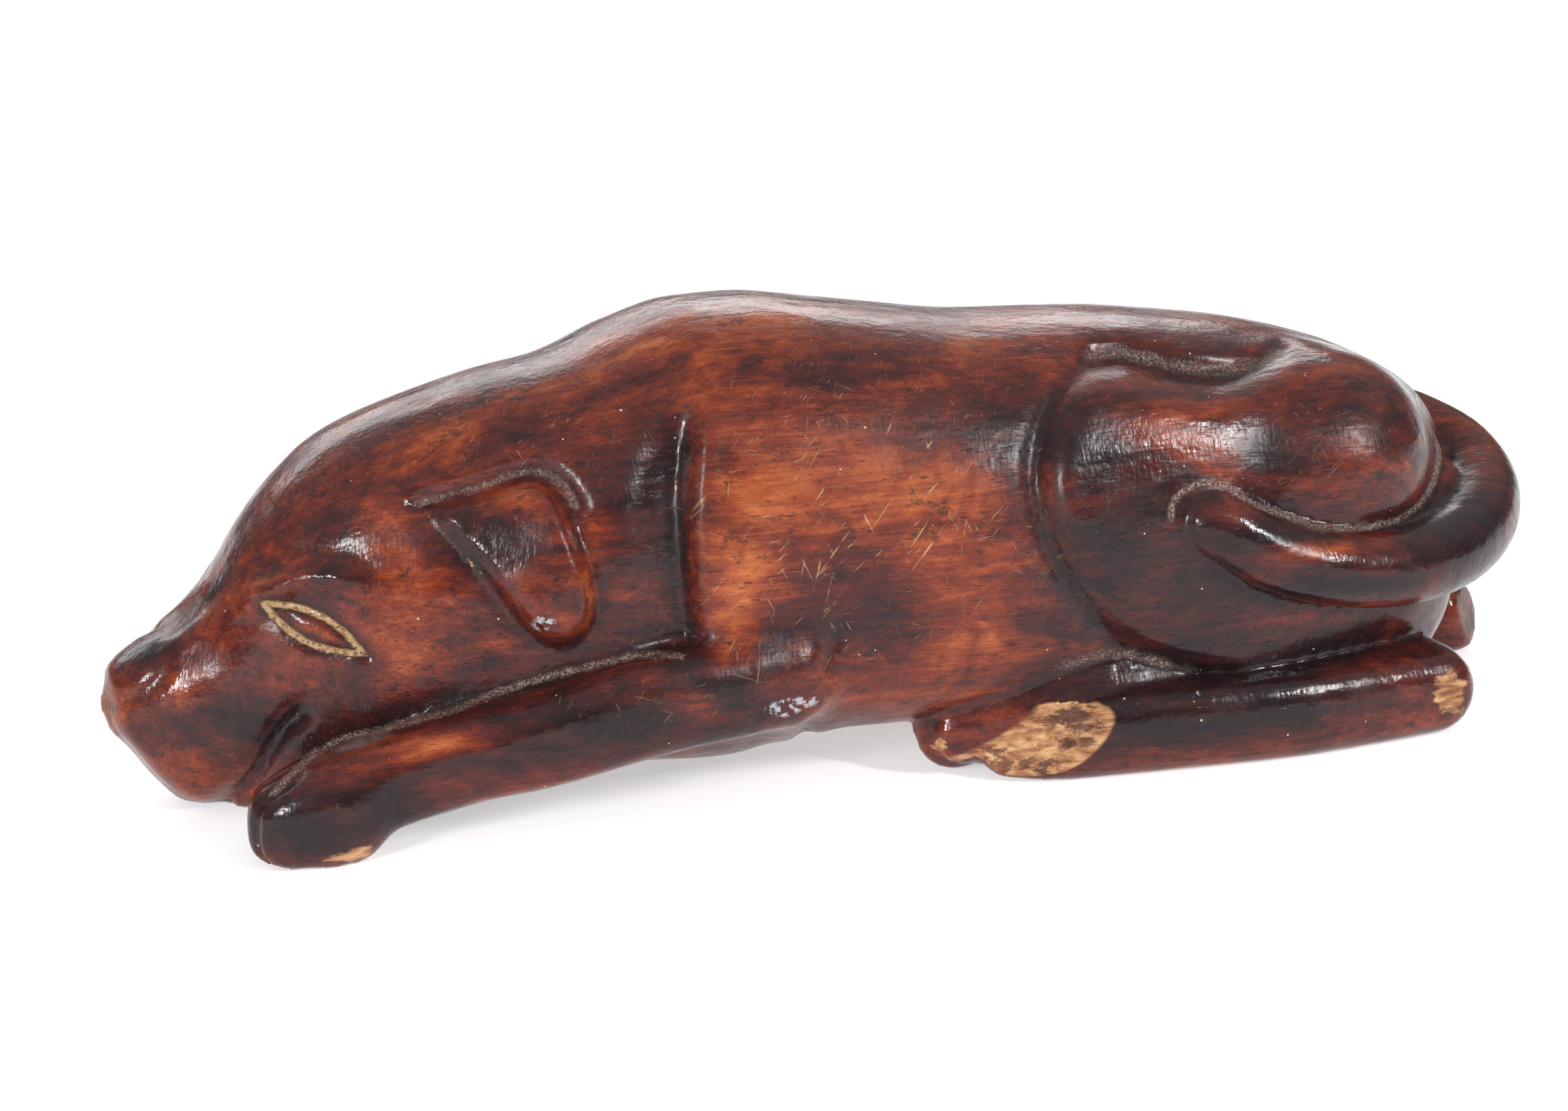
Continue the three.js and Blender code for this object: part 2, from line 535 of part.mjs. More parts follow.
// Fewer triangles: the edge whose loss changes the surface least is folded first, until the budget is met
function simplify({ positions, faces }, budget) {
  const points = Float64Array.from(positions);
  const triangles = Int32Array.from(faces);
  const stamps = new Int32Array(points.length / 3);
  const quadrics = new Float64Array(stamps.length * 10);
  const users = Array.from(stamps, () => []);
  const normal = new THREE.Vector3();
  const turned = new THREE.Vector3();
  const edge = new THREE.Vector3();
  const corner = (v) => new THREE.Vector3(points[v * 3], points[v * 3 + 1], points[v * 3 + 2]);
  const current = [0, 1, 2].map(() => new THREE.Vector3());
  let alive = triangles.length / 3;

  const setNormal = (target, a, b, c) => target.subVectors(b, a).cross(edge.subVectors(c, a));

  const addPlane = (vertex, x, y, z, offset, weight) => {
    const q = vertex * 10;
    quadrics[q] += weight * x * x;
    quadrics[q + 1] += weight * x * y;
    quadrics[q + 2] += weight * x * z;
    quadrics[q + 3] += weight * x * offset;
    quadrics[q + 4] += weight * y * y;
    quadrics[q + 5] += weight * y * z;
    quadrics[q + 6] += weight * y * offset;
    quadrics[q + 7] += weight * z * z;
    quadrics[q + 8] += weight * z * offset;
    quadrics[q + 9] += weight * offset * offset;
  };

  // Each corner remembers the planes of its triangles, and weakly its own place; the eyes keep more triangles
  const hold = 2e-3;
  const emphasis = (place) => 1 + eye.care * bell(Math.hypot(place.x - eye.x, place.z - eye.z), 5);
  for (let f = 0; f < triangles.length; f += 3) {
    const corners = [corner(triangles[f]), corner(triangles[f + 1]), corner(triangles[f + 2])];
    setNormal(normal, ...corners);
    normal.divideScalar(Math.max(normal.length(), 1e-12));
    const size = setNormal(turned, ...corners).length() * emphasis(corners[0]);
    corners.forEach((place, i) => {
      const vertex = triangles[f + i];
      users[vertex].push(f);
      addPlane(vertex, normal.x, normal.y, normal.z, -normal.dot(place), size);
      addPlane(vertex, 1, 0, 0, -place.x, size * hold);
      addPlane(vertex, 0, 1, 0, -place.y, size * hold);
      addPlane(vertex, 0, 0, 1, -place.z, size * hold);
    });
  }

  // A queue with the cheapest fold on top
  const queue = [];
  const push = (entry) => {
    let i = queue.push(entry) - 1;
    while (i > 0) {
      const parent = (i - 1) >> 1;
      if (queue[parent].cost <= entry.cost) break;
      queue[i] = queue[parent];
      i = parent;
    }
    queue[i] = entry;
  };
  const pop = () => {
    const best = queue[0];
    const entry = queue.pop();
    const count = queue.length;
    if (count === 0) return best;
    let i = 0;
    for (let child = 1; child < count; child = i * 2 + 1) {
      if (child + 1 < count && queue[child + 1].cost < queue[child].cost) child += 1;
      if (queue[child].cost >= entry.cost) break;
      queue[i] = queue[child];
      i = child;
    }
    queue[i] = entry;
    return best;
  };

  // The best place for two joined corners is where their summed plane error is least, then one of their own
  const ownPlaces = [null, 0.5, 0, 1];
  const sum = new Float64Array(10);
  const consider = (a, b, attempt = 0) => {
    for (let i = 0; i < 10; i += 1) sum[i] = quadrics[a * 10 + i] + quadrics[b * 10 + i];
    const [xx, xy, xz, xo, yy, yz, yo, zz, zo, oo] = sum;
    const cofactors = [yy * zz - yz * yz, xz * yz - xy * zz, xy * yz - xz * yy];
    const determinant = xx * cofactors[0] + xy * cofactors[1] + xz * cofactors[2];
    const cross = xy * xz - xx * yz;
    const target = new THREE.Vector3();
    if (attempt === 0) {
      target.x = -(cofactors[0] * xo + cofactors[1] * yo + cofactors[2] * zo) / determinant;
      target.y = -(cofactors[1] * xo + (xx * zz - xz * xz) * yo + cross * zo) / determinant;
      target.z = -(cofactors[2] * xo + cross * yo + (xx * yy - xy * xy) * zo) / determinant;
    } else {
      target.lerpVectors(corner(a), corner(b), ownPlaces[attempt]);
    }
    const { x, y, z } = target;
    const flat = xx * x * x + yy * y * y + zz * z * z + 2 * (xy * x * y + xz * x * z + yz * y * z);
    const cost = flat + 2 * (xo * x + yo * y + zo * z) + oo;
    push({ cost, a, b, target, attempt, stampA: stamps[a], stampB: stamps[b] });
  };

  const neighbours = (vertex) => {
    const found = [];
    for (const f of users[vertex]) {
      for (let i = f; i < f + 3; i += 1) {
        if (triangles[i] !== vertex && !found.includes(triangles[i])) found.push(triangles[i]);
      }
    }
    return found;
  };

  // A moved corner may not flip a triangle over or flatten it to a line
  const smallest = 5e-3;
  const keepsFaces = (vertex, other, place) => users[vertex].every((f) => {
    let moved = 0;
    for (let i = 0; i < 3; i += 1) {
      const v = triangles[f + i];
      if (v === other) return true;
      if (v === vertex) moved = i;
      current[i].set(points[v * 3], points[v * 3 + 1], points[v * 3 + 2]);
    }
    setNormal(normal, ...current);
    current[moved].copy(place);
    setNormal(turned, ...current);
    const before = normal.length();
    const after = turned.length();
    return before < smallest || (after > smallest && normal.dot(turned) > 0.2 * before * after);
  });

  const considerAll = () => {
    for (let f = 0; f < triangles.length; f += 3) {
      for (let i = 0; i < 3; i += 1) {
        const a = triangles[f + i];
        const b = triangles[f + (i + 1) % 3];
        if (a < b) consider(a, b);
      }
    }
  };

  const fold = ({ a, b, target, attempt, stampA, stampB }) => {
    if (stamps[a] !== stampA || stamps[b] !== stampB) return;
    const around = neighbours(a);
    const shared = neighbours(b).filter((vertex) => around.includes(vertex)).length;
    if (shared !== 2) return;
    if (!keepsFaces(a, b, target) || !keepsFaces(b, a, target)) {
      if (attempt + 1 < ownPlaces.length) consider(a, b, attempt + 1);
      return;
    }
    for (const f of users[b]) {
      const corners = [triangles[f], triangles[f + 1], triangles[f + 2]];
      if (corners.includes(a)) {
        const others = corners.filter((v) => v !== b);
        others.forEach((v) => users[v].splice(users[v].indexOf(f), 1));
        triangles.fill(-1, f, f + 3);
        alive -= 1;
      } else {
        triangles[f + corners.indexOf(b)] = a;
        users[a].push(f);
      }
    }
    users[b] = [];
    points.set(target.toArray(), a * 3);
    for (let i = 0; i < 10; i += 1) quadrics[a * 10 + i] += quadrics[b * 10 + i];
    stamps[a] += 1;
    stamps[b] = -1;
    neighbours(a).forEach((vertex) => consider(a, vertex));
  };

  // Folds refused once may be possible after others, so the queue is filled again a few times
  for (let pass = 0; pass < 6 && alive > budget; pass += 1) {
    considerAll();
    while (alive > budget && queue.length > 0) fold(pop());
  }

  const used = [];
  for (let f = 0; f < triangles.length; f += 3) {
    if (triangles[f] >= 0) used.push(triangles[f], triangles[f + 1], triangles[f + 2]);
  }
  return { points, used };
}

// Geometries to solids and back
function toSolid(geometry) {
  const bare = geometry.clone();
  bare.deleteAttribute('normal');
  bare.deleteAttribute('uv');
  const merged = mergeVertices(bare, 1e-5);
  const vertProperties = Float32Array.from(merged.attributes.position.array);
  const triVerts = Uint32Array.from(merged.index.array);
  return new wasm.Manifold(new wasm.Mesh({ numProp: 3, vertProperties, triVerts }));
}

function toGeometry(solid) {
  const mesh = solid.getMesh();
  const geometry = new THREE.BufferGeometry();
  geometry.setAttribute('position', new THREE.BufferAttribute(Float32Array.from(mesh.vertProperties), 3));
  geometry.setIndex(new THREE.BufferAttribute(Uint32Array.from(mesh.triVerts), 1));
  geometry.computeVertexNormals();
  return geometry;
}

// A slab with rounded corners, lying flat, with its lower face at the given height
function slab(length, width, corner, bottom, thickness, round = 0) {
  const x = length / 2 - round;
  const y = width / 2 - round;
  const r = corner - round;
  const shape = new THREE.Shape();
  shape.absarc(x - r, y - r, r, 0, Math.PI / 2);
  shape.absarc(r - x, y - r, r, Math.PI / 2, Math.PI);
  shape.absarc(r - x, r - y, r, Math.PI, Math.PI * 1.5);
  shape.absarc(x - r, r - y, r, Math.PI * 1.5, Math.PI * 2);
  const geometry = new THREE.ExtrudeGeometry(shape, {
    depth: thickness - 2 * round,
    curveSegments: 7,
    bevelEnabled: round > 0,
    bevelSize: round,
    bevelThickness: round,
    bevelSegments: 5,
  });
  geometry.translate(lidCentreX, 0, bottom + round);
  return geometry;
}

function houndGeometry() {
  const { points, used } = simplify(skin(sampleGrid()), houndFaces);
  const geometry = new THREE.BufferGeometry();
  geometry.setAttribute('position', new THREE.BufferAttribute(Float32Array.from(points), 3));
  geometry.setIndex(used);
  const floorDepth = 10;
  const floor = new THREE.BoxGeometry(160, 80, floorDepth).translate(0, 0, -floorDepth / 2);
  const ledge = bellyHeight + lidThickness + fitGap;
  const seatLength = lidLength + 2 * fitGap;
  const seatWidth = lidWidth + 2 * fitGap;
  const seat = slab(seatLength, seatWidth, lidCorner + fitGap, 0, ledge);
  const roomBottom = ledge - cavityRound;
  const roomLength = seatLength - 2 * ledgeWidth;
  const roomWidth = seatWidth - 2 * ledgeWidth;
  const room = slab(roomLength, roomWidth, lidCorner, roomBottom, cavityTop - roomBottom, cavityRound);
  const notch = new THREE.SphereGeometry(notchRadius, 20, 12);
  notch.translate(lidCentreX + lidLength / 2 + 1, 0, bellyHeight + notchDepth - notchRadius);
  const carved = toSolid(geometry).subtract(toSolid(floor)).subtract(toSolid(seat));
  return toGeometry(carved.subtract(toSolid(room)).subtract(toSolid(notch)));
}

function addPiece(group, name, geometry, colour, roughness) {
  const material = new THREE.MeshStandardMaterial({ color: colour, roughness, metalness: 0 });
  const piece = new THREE.Mesh(geometry, material);
  piece.name = name;
  group.add(piece);
}

const group = new THREE.Group();
addPiece(group, 'hound', houndGeometry(), woodColour, 0.3);
addPiece(group, 'lid', slab(lidLength, lidWidth, lidCorner, bellyHeight, lidThickness), lidColour, 0.42);

// The origin is under the middle of the whole piece, on the floor
const extent = new THREE.Box3().setFromObject(group, true);
group.children.forEach((piece) => {
  piece.position.set(-(extent.min.x + extent.max.x) / 2, -(extent.min.y + extent.max.y) / 2, -extent.min.z);
});

export default group;
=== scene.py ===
import math
import time

import bpy
import numpy as np
from mathutils import Matrix, Vector


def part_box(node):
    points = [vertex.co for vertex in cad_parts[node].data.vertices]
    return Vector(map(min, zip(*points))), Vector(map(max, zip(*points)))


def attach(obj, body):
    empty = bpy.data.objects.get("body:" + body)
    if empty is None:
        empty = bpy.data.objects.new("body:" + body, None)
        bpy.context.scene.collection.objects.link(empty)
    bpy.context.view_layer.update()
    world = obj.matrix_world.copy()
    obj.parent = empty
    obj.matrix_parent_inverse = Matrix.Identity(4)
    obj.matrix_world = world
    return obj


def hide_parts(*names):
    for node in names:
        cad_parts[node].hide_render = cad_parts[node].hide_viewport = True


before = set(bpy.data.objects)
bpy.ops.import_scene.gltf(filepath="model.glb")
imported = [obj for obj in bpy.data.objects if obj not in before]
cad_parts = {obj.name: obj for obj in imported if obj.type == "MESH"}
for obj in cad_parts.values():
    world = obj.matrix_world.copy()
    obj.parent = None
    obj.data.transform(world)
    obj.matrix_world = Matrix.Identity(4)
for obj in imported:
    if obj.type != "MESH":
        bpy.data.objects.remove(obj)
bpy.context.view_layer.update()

scene = bpy.context.scene
began = time.time()
mm = 0.001


def report(words):
    print(f"{time.time() - began:6.1f} s  {words}")


# camera, at the photograph's angle
photoCamera = {
    "azimuth": -17.0,                # degrees
    "elevation": 16.5,
    "target": (-4.8, 0.0, 14.989),   # mm
    "distance": 339.407,             # mm
    "lens": 100.0,
    "sensor": 36.0,
}


def addCamera(settings):
    az = math.radians(settings["azimuth"])
    el = math.radians(settings["elevation"])
    back = Vector((math.sin(az) * math.cos(el), -math.cos(az) * math.cos(el), math.sin(el)))
    right = Vector((math.cos(az), math.sin(az), 0.0))
    up = back.cross(right)
    turn = Matrix((right, up, back)).transposed().to_4x4()
    data = bpy.data.cameras.new("photoCamera")
    data.lens = settings["lens"]
    data.sensor_width = settings["sensor"]
    data.clip_start = 0.005
    camera = bpy.data.objects.new("photoCamera", data)
    place = Vector(settings["target"]) * mm + back * settings["distance"] * mm
    camera.matrix_world = Matrix.Translation(place) @ turn
    scene.collection.objects.link(camera)
    scene.camera = camera


addCamera(photoCamera)
report("camera placed")


# small helpers for carving
def ease(low, high, value):
    t = np.clip((value - low) / (high - low), 0.0, 1.0)
    return t * t * (3.0 - 2.0 * t)


def joinSoft(a, b, radius):
    near = np.maximum(radius - np.abs(a - b), 0.0) / radius
    return np.minimum(a, b) - near * near * radius / 4.0


def cutSoft(a, b, radius):
    return -joinSoft(-a, -b, radius)


def bell(distance, width):
    return np.exp(-(distance / width) ** 2)


# a raised part with a rounded shoulder
def dome(inside, width):
    t = np.clip(inside / width, 0.0, 1.0)
    return np.sin(t * math.pi / 2) ** 1.3


# a smooth line through (x, value) points that never overshoots them
def profile(points):
    xs = np.array([p[0] for p in points], float)
    ys = np.array([p[1] for p in points], float)
    span = np.diff(xs)
    rise = np.diff(ys) / span
    slope = np.zeros(len(xs))
    slope[0], slope[-1] = rise[0], rise[-1]
    for i in range(1, len(xs) - 1):
        if rise[i - 1] * rise[i] > 0:
            before = 2 * span[i] + span[i - 1]
            after = span[i] + 2 * span[i - 1]
            slope[i] = (before + after) / (before / rise[i - 1] + after / rise[i])

    def at(x):
        q = np.clip(np.asarray(x, float), xs[0], xs[-1])
        i = np.clip(np.searchsorted(xs, q, side="right") - 1, 0, len(xs) - 2)
        t = (q - xs[i]) / span[i]
        s = 1 - t
        ends = ys[i] * (1 + 2 * t) * s * s + ys[i + 1] * t * t * (3 - 2 * t)
        return ends + span[i] * t * s * (slope[i] * s - slope[i + 1] * t)
    return at


# a smooth path through points, open or closed
def smoothPath(points, steps=4, closed=False):
    pts = [np.array(p, float) for p in points]
    count = len(pts)
    out = []
    for i in range(count if closed else count - 1):
        p1, p2 = pts[i], pts[(i + 1) % count]
        p0 = pts[i - 1] if (i > 0 or closed) else 2 * p1 - p2
        p3 = pts[(i + 2) % count] if (i + 2 < count or closed) else 2 * p2 - p1
        corners = ((p0, p1), (p1, p2), (p2, p3))
        d0, d1, d2 = (max(np.sum((b - a) ** 2) ** 0.25, 1e-4) for a, b in corners)
        t1 = ((p1 - p0) / d0 - (p2 - p0) / (d0 + d1) + (p2 - p1) / d1) * d1
        t2 = ((p2 - p1) / d1 - (p3 - p1) / (d1 + d2) + (p3 - p2) / d2) * d1
        for k in range(steps):
            t = k / steps
            out.append((2 * t ** 3 - 3 * t ** 2 + 1) * p1 + (t ** 3 - 2 * t ** 2 + t) * t1
                       + (3 * t ** 2 - 2 * t ** 3) * p2 + (t ** 3 - t ** 2) * t2)
    if not closed:
        out.append(pts[-1])
    return out


# distance from a line of (x, z) points, and the side of it; it stays at the margin for points further off
def toLine(line, x, z, margin=6.0, closed=False):
    path = smoothPath(line, 4, closed)
    if closed:
        path = path + [path[0]]
    path = np.array(path)
    gap = np.full(x.shape, margin)
    side = np.zeros(x.shape)
    low, high = path.min(0) - margin, path.max(0) + margin
    near = np.flatnonzero((x > low[0]) & (x < high[0]) & (z > low[1]) & (z < high[1]))
    px, pz = x[near], z[near]
    best, bestSide = gap[near], side[near]
    for a, b in zip(path[:-1], path[1:]):
        dx, dz = b - a
        t = np.clip(((px - a[0]) * dx + (pz - a[1]) * dz) / (dx * dx + dz * dz), 0, 1)
        d = np.hypot(px - a[0] - t * dx, pz - a[1] - t * dz)
        nearer = d < best
        best = np.where(nearer, d, best)
        bestSide = np.where(nearer, dx * (pz - a[1]) - dz * (px - a[0]), bestSide)
    gap[near], side[near] = best, bestSide
    return gap, side


# distance in from a closed outline of (x, z) points: positive inside
def insideOutline(outline, x, z):
    gap, _ = toLine(outline, x, z, 6.0, True)
    path = smoothPath(outline, 4, True)
    inside = np.zeros(x.shape, bool)
    for a, b in zip(path, path[1:] + path[:1]):
        if a[1] != b[1]:
            crossing = (b[0] - a[0]) * (z - a[1]) / (b[1] - a[1]) + a[0]
            inside ^= ((a[1] > z) != (b[1] > z)) & (x < crossing)
    return np.where(inside, gap, -gap)


# the hound's form, mm: nose to -X, tail along the flank at -Y
houndForm = {
    # grid that it is carved on
    "step": 0.47,
    "low": (-60.2, -20.6, -0.9),
    "high": (60.4, 20.6, 37.4),
    # lines of the body from nose to rump, as (x, value)
    "backLine": [
        (-58.4, 8.6), (-57.7, 10.6), (-55.6, 12.3), (-52.8, 13.7), (-50.1, 16.2), (-47.4, 20.6),
        (-44.7, 24.1), (-42, 26.6), (-39.4, 28), (-34.1, 29.8), (-28.8, 31.2), (-23.5, 32.2), (-18.1, 34.4),
        (-12.7, 35.8), (-8.4, 35.9), (-1.8, 35), (3.7, 34.1), (9.3, 33.3), (20.7, 32.8), (26.5, 32.1),
        (32.3, 31.2), (38.2, 29.7), (44.3, 27.2), (47.4, 25), (50, 21.5), (51.6, 16)],
    "undersideLine": [
        (-58.4, 7.6), (-57.9, 6.2), (-56.6, 4.6), (-54.6, 1.9), (-52.5, 0), (-49, -0.6), (-44, -0.4),
        (-40, 0.4), (-32, 1.4), (-20, 1.2), (-11, 1), (-6, 2), (-3, 2.5), (46, 2.5), (49, 4.5), (51.6, 12)],
    "halfWidth": [
        (-58.4, 0.8), (-57.7, 2.4), (-55.6, 4), (-52.8, 5.4), (-50, 6.5), (-47.4, 7.7), (-44.7, 9),
        (-42, 10.2), (-39, 11.4), (-34, 12.6), (-29, 13.4), (-23, 14), (-18, 14.6), (-12, 15.6), (5, 16),
        (15, 15.4), (25, 14.8), (35, 14.2), (42, 12.6), (46, 10.2), (49, 7.2), (51, 3.6), (51.6, 1)],
    "widestLine": [
        (-58.4, 8.1), (-52.8, 7.4), (-47.4, 9), (-42, 10.5), (-34, 12.5), (-20, 15), (0, 15.5), (44, 15),
        (51.6, 14)],
    "bellyLine": [(-14, -2), (-11, -1), (-6, 3.5), (-3, 3.9), (60, 3.9)],
    "upperFullness": [(-56, 2.7), (-48, 2.7), (-42, 2.4), (52, 2.4)],
    "lowerFullness": [(-56, 2.7), (-20, 2.8), (-4, 2.9), (52, 2.9)],
    "noseEnd": -58.4,
    "rumpEnd": 51.6,
    # limbs as (x, y, z, radius); the squared ones have flatter sides
    "squared": 3,
    "foreleg": [
        (-44.5, -15.5, 3.9, 3.5), (-40, -15.2, 5.2, 3.4), (-34, -14.9, 6.4, 3.4), (-28, -14.8, 7.3, 3.6),
        (-22, -14.5, 8.6, 3.8), (-16, -14.2, 9.4, 3.8), (-9.5, -13.8, 9.4, 3.2)],
    "nearShank": [
        (9.2, -13.2, 2.6, 2.6), (13, -13.7, 3.1, 3.4), (20, -14, 3.35, 3.6), (32, -13.9, 3.4, 3.65),
        (40, -12.7, 3.4, 3.65), (44.6, -11.9, 3.4, 3.6)],
    "farShank": [
        (9.2, 13.2, 2.6, 2.6), (13, 13.7, 3.1, 3.4), (20, 14, 3.35, 3.6), (32, 13.9, 3.4, 3.65),
        (42, 12.2, 3.4, 3.6), (50, 9, 3.2, 3.4), (55.3, 6.9, 2.7, 3.0)],
    "hindPaw": [(5.6, -10.6, 3.3, 3.2), (10, -11.6, 4.8, 3.2), (15, -12.6, 6.1, 3), (22, -13, 6.6, 2.2)],
    "tail": [
        (24.1, -15.4, 19.5, 2.65), (26.1, -15.7, 18.6, 2.8), (29.5, -15.9, 16.7, 2.95),
        (34.8, -15.7, 15.1, 3.05), (41.1, -14.3, 14.2, 3.1), (47, -10.6, 14.2, 3.3), (51.2, -6, 15, 3.5),
        (53.4, -1, 16.3, 3.6), (53, 2.8, 17.8, 3.6), (50.4, 4.8, 19, 3.8), (46.5, 4.5, 20.1, 4.2)],
    "forepaw": {"middle": (-45.4, -15.6, 2.8), "half": (4.9, 3.2, 3.4)},
    "nearHip": {"middle": (36, -7.6, 21.6), "half": (9, 8.2, 8.2)},
    "farHip": {"middle": (34, 7.8, 18.4), "half": (9, 8, 8)},
    # radii of the soft joins; the foreleg's grows from the paw to the elbow
    "joins": {"hip": 3.0, "belly": 0.6, "hindPaw": 0.8, "farShank": 0.8, "nearShank": 0.5, "tail": 0.3,
              "forepaw": 1.6},
    "forelegJoin": {"paw": 0.7, "more": 2.2, "elbow": (-18, -11)},
    # broken ends, as a point on the break and the way it faces
    "pawBreak": ((11.6, -15.6, 4.2), (-0.42, -0.86, 0.28)),
    "heelChip": ((56.2, 4.9, 2.8), (0.7, -0.66, 0.27)),
    "breakEdge": {"paw": 0.3, "heel": 0.25},
    # seat of the lid and room for snuff, as (length, width, corner, low, high), and the notch for a nail
    "lidCentreX": 19.5,
    "seat": (42.6, 17.2, 6.3, -3.0, 6.8),
    "seatRounding": 0.05,
    "room": (39.6, 14.2, 6.0, 2.3, 26.5),
    "roomRounding": 4.5,
    "notch": (41.5, 0.0, 0.5, 4.5),
}

# carving drawn on an upright sheet beside the flank, as (x, z) seen from the drawing point
carving = {
    "drawnFrom": (-99.95, -311.2, 111.4),
    "sheetY": -14.0,
    "ear": [
        (-36.2, 25.1), (-34.2, 25.3), (-31.9, 25.7), (-29.9, 26.5), (-28.4, 26.6), (-26.9, 25.9),
        (-25.7, 24), (-24.7, 21.6), (-23.9, 19.1), (-23.6, 16.7), (-24, 15), (-25.2, 14.1), (-26.5, 13.8),
        (-28, 14.6), (-29.5, 16.1), (-30.8, 17.9), (-32.3, 20), (-34.1, 22.3), (-35.3, 23.9)],
    "earGroove": [
        (-36.9, 25.6), (-34.2, 26.2), (-31.9, 26.6), (-29.9, 27.2), (-27.8, 27.3), (-26.3, 26.4),
        (-25, 24.4)],
    "thigh": [
        (34, 31.6), (31, 31.4), (29.3, 30.8), (26.5, 30.1), (24.3, 30.1), (22, 30.6), (19.8, 31.2),
        (17.6, 31.9), (15.9, 32), (14.3, 31.6), (12.9, 30.7), (11.9, 29.1), (11.2, 27.3), (10.8, 25.2),
        (10.8, 23.1), (11.2, 20.9), (11.9, 18.7), (13.1, 16.4), (14.5, 14.1), (16.1, 11.8), (18.1, 9.7),
        (21, 7.6), (27.2, 5), (34, 3), (60, 0), (62, 20), (58, 34), (45, 34)],
    "thighValley": [
        (14.8, 32.9), (17.6, 32.8), (20.3, 32.1), (23.1, 31.3), (25.9, 31), (28.5, 31.4), (30.4, 32)],
    "shoulder": [
        (-16.1, 33.1), (-16.7, 30.5), (-17.1, 26.9), (-17.3, 23.8), (-17.2, 20.7), (-17, 17.5),
        (-16.7, 14.3), (-16, 11.8), (-14.7, 9.8), (-12.9, 8.3), (-11, 7.4)],
    "elbow": [(-4.2, 14.5), (-5, 12.4), (-5.9, 10.3), (-6.7, 8.5), (-7.3, 6.4), (-7.6, 4)],
    "mouth": [(-45.8, 10.7), (-47, 9.7), (-48.2, 8), (-49.2, 6.3), (-50.7, 5.1), (-52.5, 4.4), (-54, 4.1)],
    "lip": [(-59.9, 13.4), (-59.6, 11.5), (-58.5, 9.1), (-57.1, 6.9), (-55.5, 5.2), (-53.8, 4.1)],
    "noseCrease": [(-55.9, 16.9), (-55.5, 15.4), (-56.2, 13.8), (-57.7, 13), (-59.3, 12.5)],
    "bridge": [(-46.5, 20.2), (-47.5, 19.8), (-50, 19), (-52.5, 17.8), (-55, 16.5)],
    "brow": [(-48.2, 20.1), (-46.4, 20.7), (-44.4, 20.8), (-42.4, 20.5)],
    "trough": [
        (42.9, 27.1), (43.9, 24.3), (43.8, 21.2), (42.1, 18.6), (38.4, 17.5), (34.3, 17.9), (30.8, 19.2),
        (28.5, 20.3), (26.2, 21.7), (23.9, 22.2), (22, 21), (21.7, 19.4)],
    "foreGroove": [
        (-48, 4.5), (-46.2, 6.4), (-43.6, 8), (-39.5, 8.8), (-35, 9.6), (-29.2, 11.2), (-24.5, 12),
        (-20, 12.6), (-17, 12.2)],
    "legGroove": [(13, 8.6), (17, 9.2), (20, 8.6), (22, 7.8)],
    "earRidge": [(-36.2, 25), (-34.1, 22.2), (-32.3, 20)],
    "eye": {"front": (-48.2, 19.1), "back": (-41.1, 14.7), "bow": 1.05},
}

# how the carving is cut, mm: heights, widths, and where a cut fades as (from, to)
cuts = {
    "band": 3.4,                # how far from the surface points are carved
    "flankFrom": (0.12, 0.45),  # share of the half width where the carving starts
    # height and width of a line, a groove below 0
    "lines": {
        "thighValley": (-0.85, 0.9), "earGroove": (-0.85, 0.75), "elbow": (-0.5, 0.75), "mouth": (-1.1, 0.75),
        "lip": (-0.4, 0.45), "noseCrease": (-0.28, 0.55), "bridge": (0.35, 1.0), "brow": (0.75, 1.0),
        "trough": (-0.9, 1.0)},
    "elbowTop": (12.5, 15.5),
    "mouthFront": (-55, -50),
    "troughPoints": 5,          # the tail itself fills the rest of its trough
    "thigh": {
        "rise": 1.8, "round": 2.8, "groove": 0.4, "width": 0.65, "out": 0.4, "low": (8, 11),
        "rear": (26, 42)},
    "ear": {
        "front": 0.75, "more": 1.45, "thickens": (-34.5, -24.5), "hingeZ": 21, "slant": 0.45, "round": 1.1,
        "groove": 0.12, "width": 0.4, "out": 0.3},
    "shoulder": {
        "shift": 0.35, "bodyWidth": 1.35, "neckWidth": 2.6, "depth": 1.5, "least": 0.15, "top": (26, 33),
        "rim": 0.4, "rimGap": 2.1, "rimWidth": 1.1, "rimLow": (13, 19), "rimTop": (29, 32)},
    "eye": {"end": 1.15, "groove": 0.35, "width": 0.3, "ball": 0.25, "ballEdge": (0.4, 1.0)},
    "foreToes": {"lines": (-16.9, -14.4), "depth": 0.7, "width": 0.4, "fade": (-47.8, -45.5)},
    "hindToes": {"lines": (-12.2, -10.1), "depth": 0.6, "width": 0.35, "fade": (4.5, 7.5)},
}


# how far out of its section a point is (1 on the surface), and the slopes of that
def sectionReach(curves, x, y, z):
    widest = curves["widestLine"](x)
    above = z > widest
    power = np.where(above, curves["upperFullness"](x), curves["lowerFullness"](x))
    height = np.where(above, curves["backLine"](x) - widest, widest - curves["undersideLine"](x))
    width = curves["halfWidth"](x)
    u = np.abs(y) / width
    v = np.abs(z - widest) / height
    reach = np.maximum((u ** power + v ** power) ** (1 / power), 1e-6)
    return reach, (u / reach) ** (power - 1) / width, (v / reach) ** (power - 1) / height


